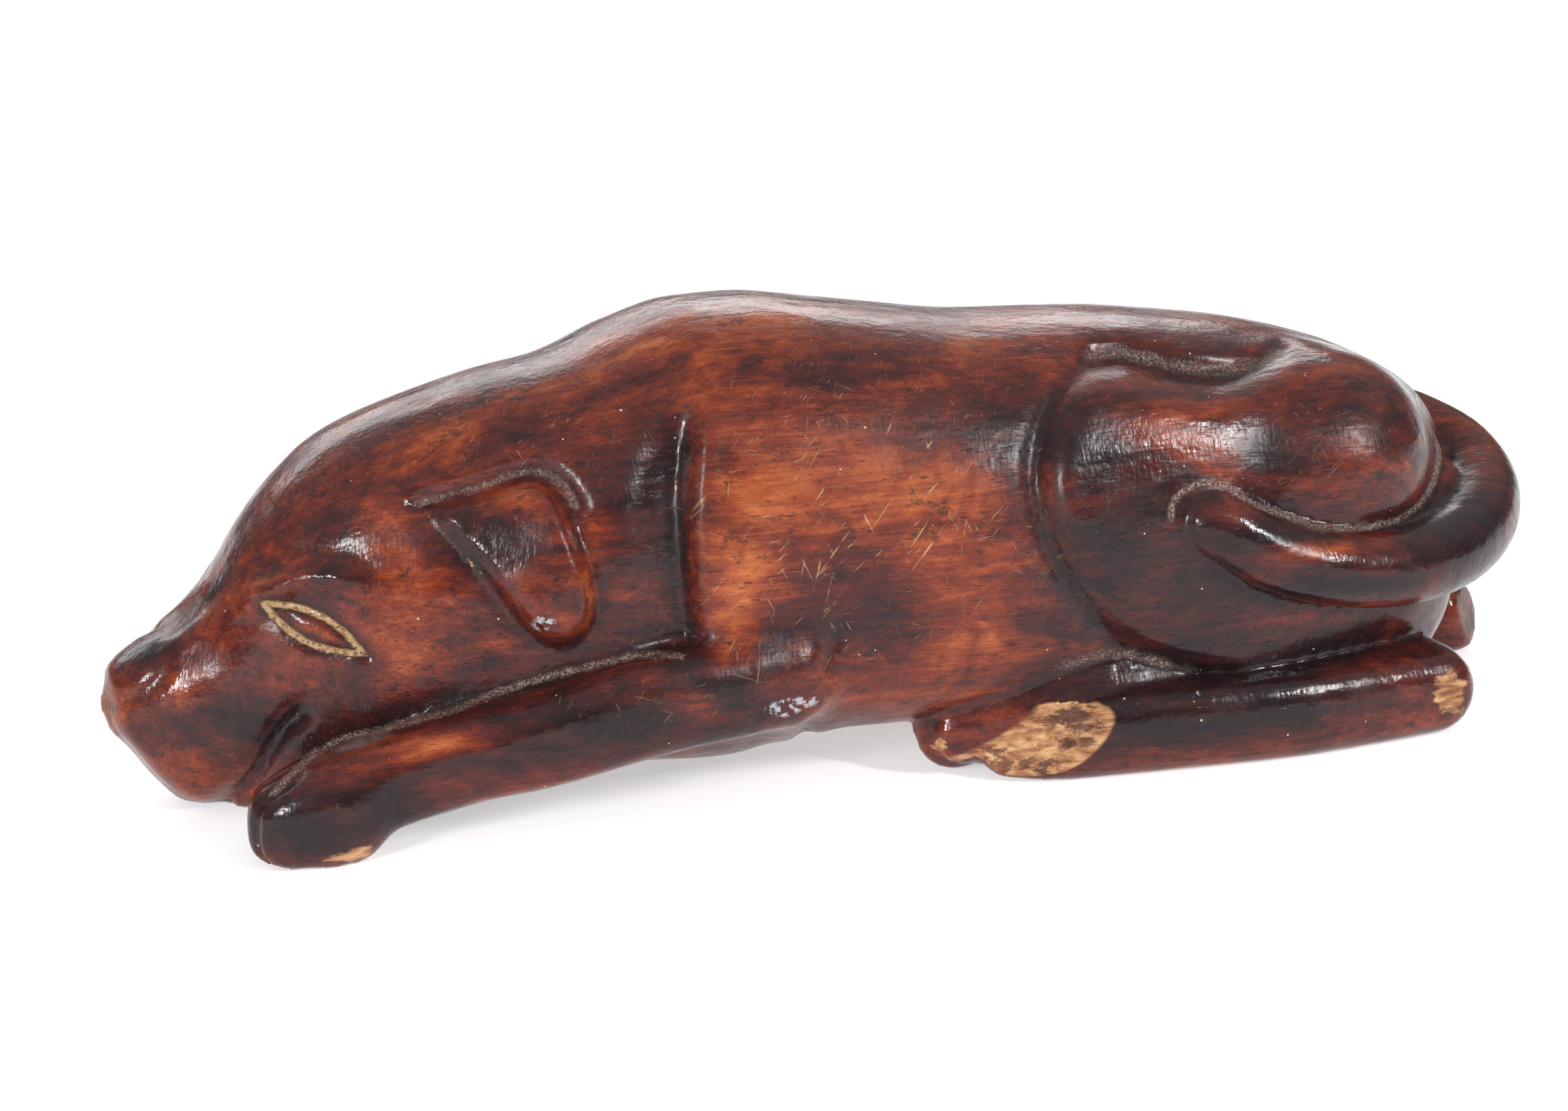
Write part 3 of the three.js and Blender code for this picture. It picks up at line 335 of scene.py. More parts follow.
# distance from a ball with three half sizes; a power over 2 squares it
def toBall(ball, x, y, z, side=1, power=2):
    middle, half = ball["middle"], ball["half"]
    px = np.abs(x - middle[0]) / half[0]
    py = np.abs(y - middle[1] * side) / half[1]
    pz = np.abs(z - middle[2]) / half[2]
    reach = np.maximum((px ** power + py ** power + pz ** power) ** (1 / power), 1e-6)
    slope = [(p / reach) ** (power - 1) / h for p, h in zip((px, py, pz), half)]
    return (reach - 1) / np.sqrt(slope[0] ** 2 + slope[1] ** 2 + slope[2] ** 2 + 1e-9)


def limbPath(points, side=1):
    steps = 4
    middle = smoothPath([(p[0], p[1] * side, p[2]) for p in points], steps)
    thickness = profile([(i, p[3]) for i, p in enumerate(points)])
    return middle, [float(thickness(i / steps)) for i in range(len(middle))]


# distance from a limb; a power over 2 squares its section
def toLimb(path, x, y, z, power=2):
    middle, radii = path
    farAway, margin = 9.0, 7
    nearest = np.full(np.broadcast(x, y, z).shape, farAway)
    for a, b, ra, rb in zip(middle[:-1], middle[1:], radii[:-1], radii[1:]):
        low, high = min(a[0], b[0]) - margin, max(a[0], b[0]) + margin
        inX = np.flatnonzero((x[:, 0, 0] >= low) & (x[:, 0, 0] <= high))
        if not len(inX):
            continue
        part = slice(inX[0], inX[-1] + 1)
        px, d = x[part], b - a
        t = ((px - a[0]) * d[0] + (y - a[1]) * d[1] + (z - a[2]) * d[2]) / float(d @ d)
        t = np.clip(t, 0, 1)
        gx, gy, gz = px - a[0] - t * d[0], y - a[1] - t * d[1], z - a[2] - t * d[2]
        if power == 2:
            gap = np.sqrt(gx * gx + gy * gy + gz * gz)
        else:
            gap = ((gx * gx + gz * gz) ** (power / 2) + np.abs(gy) ** power) ** (1 / power)
        nearest[part] = np.minimum(nearest[part], gap - ra - t * (rb - ra))
    return nearest


# distance past a plane, given as a point on it and the way it faces
def toPlane(plane, x, y, z):
    point, facing = plane
    nx, ny, nz = np.array(facing) / np.linalg.norm(facing)
    return (x - point[0]) * nx + (y - point[1]) * ny + (z - point[2]) * nz


# distance from a flat block with round corners
def slab(x, y, z, centreX, length, width, corner, low, high, rounding):
    qx = np.abs(x - centreX) - length / 2 + corner
    qy = np.abs(y) - width / 2 + corner
    flat = np.hypot(np.maximum(qx, 0), np.maximum(qy, 0)) + np.minimum(np.maximum(qx, qy), 0) - corner
    tall = np.abs(z - (low + high) / 2) - (high - low) / 2
    a, b = flat + rounding, tall + rounding
    return np.hypot(np.maximum(a, 0), np.maximum(b, 0)) + np.minimum(np.maximum(a, b), 0) - rounding


# where a point of either flank shows on the drawing sheet
def onSheet(x, y, z, lines=carving):
    fx, fy, fz = lines["drawnFrom"]
    t = (lines["sheetY"] - fy) / (-np.abs(y) - fy)
    return fx + (x - fx) * t, fz + (z - fz) * t


# the eye's middle, the way it slants and half its length
def eyeAxis(eye):
    (ax, az), (bx, bz) = eye["front"], eye["back"]
    length = math.hypot(bx - ax, bz - az)
    return ((ax + bx) / 2, (az + bz) / 2), ((bx - ax) / length, (bz - az) / length), length / 2


def eyeRelief(eye, cut, x, z):
    (middleX, middleZ), (ux, uz), half = eyeAxis(eye)
    along = ((x - middleX) * ux + (z - middleZ) * uz) / half
    across = np.abs((z - middleZ) * ux - (x - middleX) * uz)
    taper = np.maximum(1 - along ** 2, 0)
    lid = eye["bow"] * taper
    ball = cut["ball"] * taper * (1 - ease(*cut["ballEdge"], across / (lid + 0.05)))
    return (np.abs(along) < cut["end"]) * (ball - cut["groove"] * bell(across - lid, cut["width"]))


def thighRelief(outline, cut, x, z):
    inside = insideOutline(outline, x, z)
    groove = cut["groove"] * bell(inside + cut["out"], cut["width"]) * ease(*cut["low"], z)
    return (cut["rise"] * dome(inside, cut["round"]) - groove) * (1 - ease(*cut["rear"], x))


# the ear thickens away from the hinge at its front corner
def earRelief(outline, cut, x, z):
    inside = insideOutline(outline, x, z)
    rise = cut["front"] + cut["more"] * ease(*cut["thickens"], x + (cut["hingeZ"] - z) * cut["slant"])
    return rise * dome(inside, cut["round"]) - cut["groove"] * bell(inside + cut["out"], cut["width"])


# a groove that is steep towards the body and wide towards the neck, with a low rim behind it
def shoulderRelief(line, cut, x, z):
    gap, side = toLine(line, x + cut["shift"], z)
    width = np.where(side > 0, cut["bodyWidth"], cut["neckWidth"])
    groove = (cut["depth"] * (1 - ease(*cut["top"], z)) + cut["least"]) * bell(gap, width)
    rim = cut["rim"] * (side > 0) * bell(gap - cut["rimGap"], cut["rimWidth"])
    return rim * ease(*cut["rimLow"], z) * (1 - ease(*cut["rimTop"], z)) - groove


# carving of the flanks in mm outwards
def flankRelief(lines, x, y, z):
    sx, sz = onSheet(x, y, z)
    raised = {"thigh": thighRelief, "ear": earRelief, "shoulder": shoulderRelief, "eye": eyeRelief}
    relief = sum(carve(lines[name], cuts[name], sx, sz) for name, carve in raised.items())
    shares = {
        "elbow": 1 - ease(*cuts["elbowTop"], sz),
        "mouth": ease(*cuts["mouthFront"], sx),
        "trough": y < 0,
    }
    for name, (height, width) in cuts["lines"].items():
        points = lines[name][:cuts["troughPoints"]] if name == "trough" else lines[name]
        gap, _ = toLine(points, sx, sz)
        relief += height * bell(gap, width) * shares.get(name, 1)
    return relief


# grooves between the toes, where the paw ends
def toeGrooves(toes, x, y):
    grooves = sum(bell(np.abs(y) + line, toes["width"]) for line in toes["lines"])
    return toes["depth"] * grooves * (1 - ease(*toes["fade"], x))


def carveHound(form, lines):
    step = form["step"]
    xs, ys, zs = (np.arange(low, high + step, step) for low, high in zip(form["low"], form["high"]))
    x, y, z = xs[:, None, None], ys[None, :, None], zs[None, None, :]
    names = ("backLine", "undersideLine", "halfWidth", "widestLine", "upperFullness", "lowerFullness")
    curves = {name: profile(form[name]) for name in names}
    reach, slopeY, slopeZ = sectionReach(curves, x, y, z)
    nudge = 0.4
    ahead = sectionReach(curves, x + nudge, y, z)[0]
    behind = sectionReach(curves, x - nudge, y, z)[0]
    slopeX = (ahead - behind) / (2 * nudge)
    shape = (reach - 1) / np.sqrt(slopeY ** 2 + slopeZ ** 2 + slopeX ** 2 + 1e-12)
    shape = np.maximum(shape, np.maximum(form["noseEnd"] - x, x - form["rumpEnd"]))
    # only points near the surface are carved
    band = np.nonzero(np.abs(shape) < cuts["band"])
    bx, by, bz = xs[band[0]], ys[band[1]], zs[band[2]]
    flank = ease(*cuts["flankFrom"], np.abs(by) / curves["halfWidth"](bx))
    shape[band] -= flankRelief(lines, bx, by, bz) * flank

    def limb(name, side=1, power=2):
        return toLimb(limbPath(form[name], side), x, y, z, power)

    joins, edges, squared = form["joins"], form["breakEdge"], form["squared"]
    hip = np.where(y < 0, toBall(form["nearHip"], x, y, z), toBall(form["farHip"], x, y, z))
    shape = joinSoft(shape, hip, joins["hip"])
    shape = cutSoft(shape, profile(form["bellyLine"])(x) - z, joins["belly"])
    hindPaw = np.minimum(limb("hindPaw"), limb("hindPaw", -1)) + toeGrooves(cuts["hindToes"], x, y)
    shape = joinSoft(shape, hindPaw, joins["hindPaw"])
    heel = toPlane(form["heelChip"], x, y, z)
    farShank = cutSoft(limb("farShank", 1, squared), heel, edges["heel"])
    shape = joinSoft(shape, farShank, joins["farShank"])
    facet = toPlane(form["pawBreak"], x, y, z)
    nearShank = cutSoft(limb("nearShank", 1, squared), facet, edges["paw"])
    shape = joinSoft(shape, nearShank, joins["nearShank"])
    shape = joinSoft(shape, limb("tail"), joins["tail"])
    paws = np.minimum(*(toBall(form["forepaw"], x, y, z, side, squared) for side in (1, -1)))
    legs = np.minimum(*(limb("foreleg", side, squared) for side in (1, -1)))
    foreleg = joinSoft(legs, paws, joins["forepaw"]) + toeGrooves(cuts["foreToes"], x, y)
    growing = form["forelegJoin"]
    shape = joinSoft(shape, foreleg, growing["paw"] + growing["more"] * ease(*growing["elbow"], x))
    outer = np.maximum(shape, -z)
    seat = slab(x, y, z, form["lidCentreX"], *form["seat"], form["seatRounding"])
    room = slab(x, y, z, form["lidCentreX"], *form["room"], form["roomRounding"])
    nx, ny, nz, radius = form["notch"]
    notch = np.sqrt((x - nx) ** 2 + (y - ny) ** 2 + (z - nz) ** 2) - radius
    hollow = np.minimum(np.minimum(seat, room), notch)
    solid = np.maximum(outer, -hollow)
    fields = {"solid": solid, "outer": outer, "hollow": hollow, "facet": facet + 0 * shape}
    return (xs, ys, zs), {name: values.astype(np.float32) for name, values in fields.items()}


# a skin of four-sided faces on the field's zero level
def skinField(axes, field):
    inside = field < 0
    nx, ny, nz = (size - 1 for size in inside.shape)
    count = sum(
        inside[i:nx + i, j:ny + j, k:nz + k].astype(np.int8) for i in (0, 1) for j in (0, 1) for k in (0, 1))
    cells = np.argwhere((count > 0) & (count < 8))
    index = np.full(count.shape, -1, np.int64)
    index[tuple(cells.T)] = np.arange(len(cells))
    sums = np.zeros((len(cells), 3))
    hits = np.zeros(len(cells))
    for a in [(i, j, k) for i in (0, 1) for j in (0, 1) for k in (0, 1)]:
        for axis in range(3):
            if a[axis]:
                continue
            b = list(a)
            b[axis] = 1
            ia, ib = cells + a, cells + b
            va, vb = field[tuple(ia.T)], field[tuple(ib.T)]
            crosses = (va < 0) != (vb < 0)
            t = np.where(crosses, va / np.where(va == vb, 1, va - vb), 0)
            pa = np.stack([axes[n][ia[:, n]] for n in range(3)], 1)
            pb = np.stack([axes[n][ib[:, n]] for n in range(3)], 1)
            sums += np.where(crosses[:, None], pa + (pb - pa) * t[:, None], 0)
            hits += crosses
    quads = []
    for axis in range(3):
        low, high = [slice(None)] * 3, [slice(None)] * 3
        low[axis], high[axis] = slice(0, -1), slice(1, None)
        a, b = inside[tuple(low)], inside[tuple(high)]
        edges = np.argwhere(a != b)
        other = [n for n in range(3) if n != axis]
        ring = []
        for du, dv in ((-1, -1), (0, -1), (0, 0), (-1, 0)):
            c = edges.copy()
            c[:, other[0]] += du
            c[:, other[1]] += dv
            ring.append(index[tuple(c.T)])
        ring = np.stack(ring, 1)
        outward = a[tuple(edges.T)]
        flip = outward if axis == 1 else ~outward
        ring[flip] = ring[flip][:, ::-1]
        quads.append(ring)
    return sums / hits[:, None], np.concatenate(quads)


# field value at any points
def sampleField(axes, field, points):
    base, part = [], []
    for n, line in enumerate(axes):
        place = np.clip((points[:, n] - line[0]) / (line[1] - line[0]), 0, len(line) - 1.001)
        base.append(place.astype(int))
        part.append(place - base[-1])
    total = 0
    for i in (0, 1):
        for j in (0, 1):
            for k in (0, 1):
                weight = (part[0] if i else 1 - part[0]) * (part[1] if j else 1 - part[1])
                weight = weight * (part[2] if k else 1 - part[2])
                total = total + weight * field[base[0] + i, base[1] + j, base[2] + k]
    return total


def softened(field, rounds):
    out = field
    for _ in range(rounds):
        for axis in range(3):
            pad = np.concatenate([out.take([0], axis), out, out.take([-1], axis)], axis)
            low, mid, high = [slice(None)] * 3, [slice(None)] * 3, [slice(None)] * 3
            low[axis], mid[axis], high[axis] = slice(0, -2), slice(1, -1), slice(2, None)
            out = 0.25 * pad[tuple(low)] + 0.5 * pad[tuple(mid)] + 0.25 * pad[tuple(high)]
    return out


axes, fields = carveHound(houndForm, carving)
report(f"hound carved from {fields['solid'].size} samples")
points, quads = skinField(axes, fields["solid"])
report(f"skin made: {len(points)} points, {2 * len(quads)} triangles")


# where the finish of the wood changes, as (x, z, reach x, reach z, amount) on the drawing sheet
woodPatches = {
    # above 0 brighter orange, below 0 darker
    "tone": [
        (-12.5, 37, 4.9, 1.6, 0.5), (-35, 30.5, 4.9, 2.2, 0.3), (-43.3, 24, 3.3, 3.3, -0.35),
        (-48.3, 24.4, 3.3, 3.8, -0.3), (-37.5, 17.2, 3.3, 3.8, 0.55), (-30, 25.6, 2.5, 1.2, 0.6),
        (-31.3, 22, 3.3, 2.5, -0.7), (-27.2, 17.3, 2.7, 2.2, -0.2), (-24, 18.6, 0.6, 3.3, 0.8),
        (-20.4, 22, 2.7, 6.6, -0.45), (-12.3, 18, 2.5, 6, 0.75), (-8.8, 25.2, 4.4, 3.3, 0.4),
        (-6.2, 33, 3.3, 1.5, -0.6), (-1.3, 15, 2.2, 3.3, -0.35), (3.5, 21, 3.3, 3.8, 0.35),
        (5.8, 11.6, 3.3, 2.2, 0.35), (9, 26.5, 1.9, 4.9, -0.5), (15.6, 20, 3.3, 8.2, -0.45),
        (21, 26, 3.8, 2.7, 0.3), (21, 34.6, 6.6, 1.2, 0.25), (29.2, 24.6, 1.6, 1.3, -0.9),
        (32.2, 29.5, 3.8, 1.6, 0.2), (38.6, 27, 3.3, 2.7, -0.35), (34.4, 15.9, 3.8, 0.8, 1.3),
        (27, 19.3, 2.2, 1.2, 0.4), (35.7, 12.8, 6, 0.8, -0.9), (44.6, 21.4, 2.2, 1.6, 0.35),
        (47.8, 15, 2.2, 2.2, -0.3), (33, 9, 6.6, 1.4, -0.2), (27.4, 2.4, 11, 1.1, -0.5),
        (24, 13, 9, 7, -0.45), (45, 16, 8, 6, -0.45), (27, 4.2, 15, 3.6, -0.75), (-27, 7.5, 14, 3, -0.85),
        (37, 15.5, 10, 3.2, -0.5), (14, 27, 3, 4, -0.35), (22, 22, 7, 7, -0.45), (-50, 12, 7, 6, -0.3),
        (-35.7, 7.2, 4.2, 0.9, 1.1), (-15.3, 8.2, 2.2, 1.2, 0.9), (-27.4, 5, 4.9, 1.3, -0.35),
        (-40, 3.2, 3.3, 2.2, -0.95), (-46.5, 2.3, 3.3, 2.5, -0.8), (-55.2, 12.6, 2.2, 1.1, 0.45),
        (-50.8, 10, 3.3, 1.6, -0.3), (-57.5, 16.5, 2.5, 1.1, -0.9), (-55.3, 8, 3.3, 1.6, 0.15),
        (-45.2, 12.2, 2.7, 2.2, 0.15), (-24, 36.7, 4.4, 1.3, 0.4), (-19.3, 31.3, 2.2, 2.7, -0.3),
        (-13.7, 9.2, 1.9, 1.6, -0.9), (-3, 8, 3.3, 1.6, 0.3), (-10, 12.6, 1.6, 2.7, -0.4)],
    # varnish worn off to bare wood
    "bare": [
        (-42, -0.6, 1.6, 0.7, 0.9), (-44.6, -0.9, 3.3, 0.4, 0.6), (45.9, 3.2, 1.7, 2.6, 1.1),
        (3.3, 3, 1.4, 1, 0.9), (2.6, 5, 0.9, 0.7, 0.4), (-12.8, 16, 1, 1.2, 0.45),
        (-14.7, 17.8, 0.7, 1.1, 0.5), (-12.3, 14.7, 0.5, 0.7, 0.4), (22.7, 19.3, 0.7, 0.7, 0.5),
        (-26.5, 14.4, 2.2, 0.5, 0.4), (-18.9, 13.7, 0.9, 0.4, 0.4)],
    "scratched": [(-2, 22, 12, 10, 1.0), (-30, 30, 7, 5, 0.35), (35, 25, 8, 4, 0.3), (-20, 10, 8, 3, 0.3)],
    "filler": [
        (-9.2, 7.3, 1.5, 0.7, 1.0), (-7.4, 7.7, 1.4, 0.4, 0.9), (-27.6, 15.7, 1.2, 0.7, 0.75),
        (24.3, 4.9, 0.3, 0.6, 1.1)],
}

# how the other masks are drawn, mm
maskSettings = {
    "nearSide": (2.0, -2.0),
    "flank": (2.0, 5.0),
    # rounds of smoothing that the surface is set against, and (gain, threshold) of the difference
    "smallRounds": 5,
    "broadRounds": 30,
    # painted shade in small hollows, which also gather dust
    "creaseShadeAndDust": (-6.0, 0.1),
    # painted shade in broad hollows
    "broadHollowShade": (-1.3, 0.0),
    "edge": (7.0, 0.15),
    # width and amount of dust along a line
    "dust": {
        "earGroove": (0.45, 0.7), "thighValley": (0.85, 0.66), "trough": (0.33, 1.0),
        "foreGroove": (0.42, 0.85), "legGroove": (0.7, 0.65)},
    # painted shade along the shoulder groove: its width and where it fades towards the top
    "shoulderShadeWidth": 1.5,
    "shoulderShadeTop": (27, 32),
    "ridge": (0.22, 0.8),
    "fillerFrom": (8, 10.5),
    "roomSkin": 0.25,
    "facetSkin": 0.3,
    "facetX": (4, 24),
    "facetY": -11,
    "facetTop": 6.2,
}


def patchSum(patches, sx, sz):
    total = np.zeros(sx.shape)
    for x, z, rx, rz, amount in patches:
        total += amount * np.exp(-((sx - x) / rx) ** 2 - ((sz - z) / rz) ** 2)
    return total


# how far the surface stands out of a smoothed copy of itself
def standsOut(rounds):
    return sampleField(axes, softened(fields["outer"], rounds) - fields["outer"], points)


# masks kept on the mesh for the material
def houndMasks(lines, settings):
    x, y, z = points.T
    sx, sz = onSheet(x, y, z)
    nearSide = ease(*settings["nearSide"], y)
    flank = ease(*settings["flank"], np.abs(y))
    small, broad = standsOut(settings["smallRounds"]), standsOut(settings["broadRounds"])
    inRoom = sampleField(axes, fields["hollow"], points) < settings["roomSkin"]
    facetGap = sampleField(axes, fields["facet"], points)
    low, high = settings["facetX"]
    onLeg = (x > low) * (x < high) * (y < settings["facetY"]) * (z < settings["facetTop"])

    def shaped(height, name):
        gain, threshold = settings[name]
        return np.clip(height * gain - threshold, 0, 1) * ~inRoom

    dust = np.zeros(x.shape)
    shares = {"earGroove": flank, "thighValley": flank, "trough": flank * nearSide}
    for name, (width, amount) in settings["dust"].items():
        gap, _ = toLine(lines[name], sx, sz)
        dust = np.maximum(dust, amount * bell(gap, width) * shares.get(name, 1))
    groove, _ = toLine(lines["shoulder"], sx, sz)
    ridge, _ = toLine(lines["earRidge"], sx, sz)
    width, amount = settings["ridge"]
    patches = {name: patchSum(woodPatches[name], sx, sz) for name in woodPatches}
    return {
        # painted shade in small hollows, which also gather dust
        "creaseShadeAndDust": shaped(small, "creaseShadeAndDust"),
        # painted shade in broad hollows
        "broadHollowShade": shaped(broad, "broadHollowShade"),
        "edge": shaped(small, "edge"),
        "dusty": dust * ~inRoom,
        # painted shade along the shoulder groove
        "shoulderGrooveShade": bell(groove, settings["shoulderShadeWidth"]) * (1 - ease(*settings["shoulderShadeTop"], sz)),
        "tone": patches["tone"] * nearSide,
        "bare": np.clip(patches["bare"] * nearSide + amount * bell(ridge, width), 0, 1),
        "scratched": patches["scratched"],
        "filler": patches["filler"] * nearSide * ease(*settings["fillerFrom"], np.abs(y)),
        "brokenFace": bell(facetGap, settings["facetSkin"]) * onLeg,
        "insideBox": inRoom.astype(float),
    }


# a mesh object from points in mm
def addPiece(name, corners, faces):
    mesh = bpy.data.meshes.new(name)
    mesh.from_pydata((corners * mm).tolist(), [], faces.tolist())
    mesh.update()
    mesh.polygons.foreach_set("use_smooth", [True] * len(mesh.polygons))
    piece = bpy.data.objects.new(name, mesh)
    scene.collection.objects.link(piece)
    return piece


boxLow, boxHigh = (np.array(corner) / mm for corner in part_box("hound"))
masks = houndMasks(carving, maskSettings)
# the CAD part is centred on its own box, so the carving is moved by the same small amount
shift = np.array([(boxLow[0] + boxHigh[0] - points[:, 0].min() - points[:, 0].max()) / 2, 0.0, 0.0])
report(f"CAD box from {boxLow.round(2)} to {boxHigh.round(2)} mm, carving moved by {shift[0]:.3f} mm")
hound = addPiece("carvedHound", np.clip(points + shift, boxLow, boxHigh), quads)
for name, values in masks.items():
    layer = hound.data.attributes.new(name, "FLOAT", "POINT")
    layer.data.foreach_set("value", np.asarray(values, np.float32))
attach(hound, "root")
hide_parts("hound")
report("hound mesh built")


# node helpers; a value is a number, a tuple or another node's socket
def feed(tree, value, socket):
    if isinstance(value, bpy.types.NodeSocket):
        tree.links.new(value, socket)
    else:
        socket.default_value = value


def put(tree, kind, inputs=None, **settings):
    node = tree.nodes.new(kind)
    for name, value in settings.items():
        setattr(node, name, value)
    for name, value in (inputs or {}).items():
        feed(tree, value, node.inputs[name])
    return node


def maths(tree, operation, a, b=0.0, c=0.0, clamp=False):
    node = put(tree, "ShaderNodeMath", {0: a, 1: b, 2: c}, operation=operation, use_clamp=clamp)
    return node.outputs[0]


def times(tree, a, b, clamp=False):
    return maths(tree, "MULTIPLY", a, b, clamp=clamp)


def minus(tree, a, b):
    return maths(tree, "SUBTRACT", a, b)


# a x b + c
def timesPlus(tree, a, b, c):
    return maths(tree, "MULTIPLY_ADD", a, b, c)


# the largest of several values
def largest(tree, *values):
    found = values[0]
    for value in values[1:]:
        found = maths(tree, "MAXIMUM", found, value)
    return found


# a noise value, which lies about 0.5, as a push up or down
def swing(tree, value, amount):
    return times(tree, minus(tree, value, 0.5), amount)


def fit(tree, value, low, high, outLow=0.0, outHigh=1.0):
    node = put(tree, "ShaderNodeMapRange", {0: value, 1: low, 2: high, 3: outLow, 4: outHigh},
               interpolation_type="SMOOTHSTEP")
    return node.outputs[0]


def stretch(tree, vector, scale, turn=(0, 0, 0)):
    inputs = {"Vector": vector, "Scale": scale, "Rotation": turn}
    return put(tree, "ShaderNodeMapping", inputs, vector_type="POINT").outputs[0]


def noise(tree, vector, scale, detail=3.0, rough=0.5, distortion=0.0):
    node = put(tree, "ShaderNodeTexNoise", {
        "Vector": vector, "Scale": scale, "Detail": detail, "Roughness": rough, "Distortion": distortion})
    return node.outputs["Fac"]


# noise with its own scale on each axis, per mm
def longNoise(tree, vector, scales, *rest):
    return noise(tree, stretch(tree, vector, scales), 1.0, *rest)


# spots of noise, from scales, detail, roughness and the values that they start and are full at
def spots(tree, vector, recipe, *reach):
    scales, detail, rough, edge = recipe
    return fit(tree, longNoise(tree, vector, scales, detail, rough), *edge, *reach)


def blend(tree, factor, a, b):
    a, b = ((*v, 1.0) if isinstance(v, tuple) else v for v in (a, b))
    node = put(tree, "ShaderNodeMix", {0: factor, 6: a, 7: b}, data_type="RGBA", clamp_factor=True)
    return node.outputs[2]


# a tint laid over a colour: the mask says where, the share how strongly
def layOver(tree, colour, mask, share, tint):
    return blend(tree, times(tree, mask, share), colour, tint)


def ramp(tree, value, stops):
    node = put(tree, "ShaderNodeValToRGB", {"Fac": value})
    marks = node.color_ramp.elements
    while len(marks) < len(stops):
        marks.new(0.5)
    for mark, (place, colour) in zip(marks, stops):
        mark.position = place
        mark.color = (*colour, 1.0)
    return node.outputs["Color"]


socketKinds = {"Position": "NodeSocketVector", "Colour": "NodeSocketColor"}


# a node group with a Position in mm; other inputs are numbers with a starting value
def startGroup(name, numbers, outputs):
    tree = bpy.data.node_groups.new(name, "ShaderNodeTree")
    tree.interface.new_socket("Position", in_out="INPUT", socket_type=socketKinds["Position"])
    for label, value in numbers.items():
        socket = tree.interface.new_socket(label, in_out="INPUT", socket_type="NodeSocketFloat")
        socket.default_value = value
    for label in outputs:
        kind = socketKinds.get(label, "NodeSocketFloat")
        tree.interface.new_socket(label, in_out="OUTPUT", socket_type=kind)
    return tree, tree.nodes.new("NodeGroupInput").outputs


def endGroup(tree, **results):
    made = tree.nodes.new("NodeGroupOutput")
    for label, socket in results.items():
        tree.links.new(socket, made.inputs[label])
    return tree


def useGroup(tree, group, **inputs):
    return put(tree, "ShaderNodeGroup", inputs, node_tree=group).outputs


# noise scales are per mm, first along the grain
grainSettings = {
    "sway": (0.03, 0.06, 0.06),
    "lean": (0.0, 3.0, 3.0),
    "wide": (0.06, 1.3, 1.3),
    "thin": (0.22, 6.5, 6.5),
    "thinShare": 0.4,
    "pores": ((0.8, 6.0, 6.0), 2.0, 0.5, (0.64, 0.73)),
    "clouds": (0.09, 0.17, 0.17),
    "lineHeight": 0.5,
    "poreDepth": 0.6,
}


# fine lines, pores and clouds of wood running along X
def makeWoodGrain(settings):
    tree, given = startGroup("woodGrain", {"Fineness": 1.0}, ("Lines", "Pores", "Clouds", "Height"))
    scaling = {0: given["Position"], "Scale": given["Fineness"]}
    place = put(tree, "ShaderNodeVectorMath", scaling, operation="SCALE").outputs[0]
    waves = {"Vector": stretch(tree, place, settings["sway"]), "Scale": 1.0, "Detail": 1.0}
    sway = put(tree, "ShaderNodeTexNoise", waves).outputs["Color"]
    lean = put(tree, "ShaderNodeVectorMath", {0: sway, 1: settings["lean"]}, operation="MULTIPLY").outputs[0]
    bent = put(tree, "ShaderNodeVectorMath", {0: place, 1: lean}, operation="ADD").outputs[0]
    wide = longNoise(tree, bent, settings["wide"], 5.0, 0.65)
    thin = longNoise(tree, bent, settings["thin"], 2.0)
    share = settings["thinShare"]
    lines = timesPlus(tree, thin, share, times(tree, wide, 1 - share))
    pores = spots(tree, bent, settings["pores"])
    clouds = longNoise(tree, place, settings["clouds"], 5.0, 0.62, 0.7)
    raised = times(tree, lines, settings["lineHeight"])
    height = minus(tree, raised, times(tree, pores, settings["poreDepth"]))
    return endGroup(tree, Lines=lines, Pores=pores, Clouds=clouds, Height=height)


dustSettings = {
    "coarse": 1.1,
    "raggedness": 0.8,
    "body": (0.3, 1.0),
    "grit": 5.5,
    "gritEdge": (0.38, 0.6),
    "stops": [(0.36, (0.07, 0.034, 0.026)), (0.5, (0.2, 0.125, 0.1)), (0.62, (0.5, 0.39, 0.32))],
    "speckCells": 0.85,
    "speckShare": 0.5,
    "speckSize": 0.085,
}


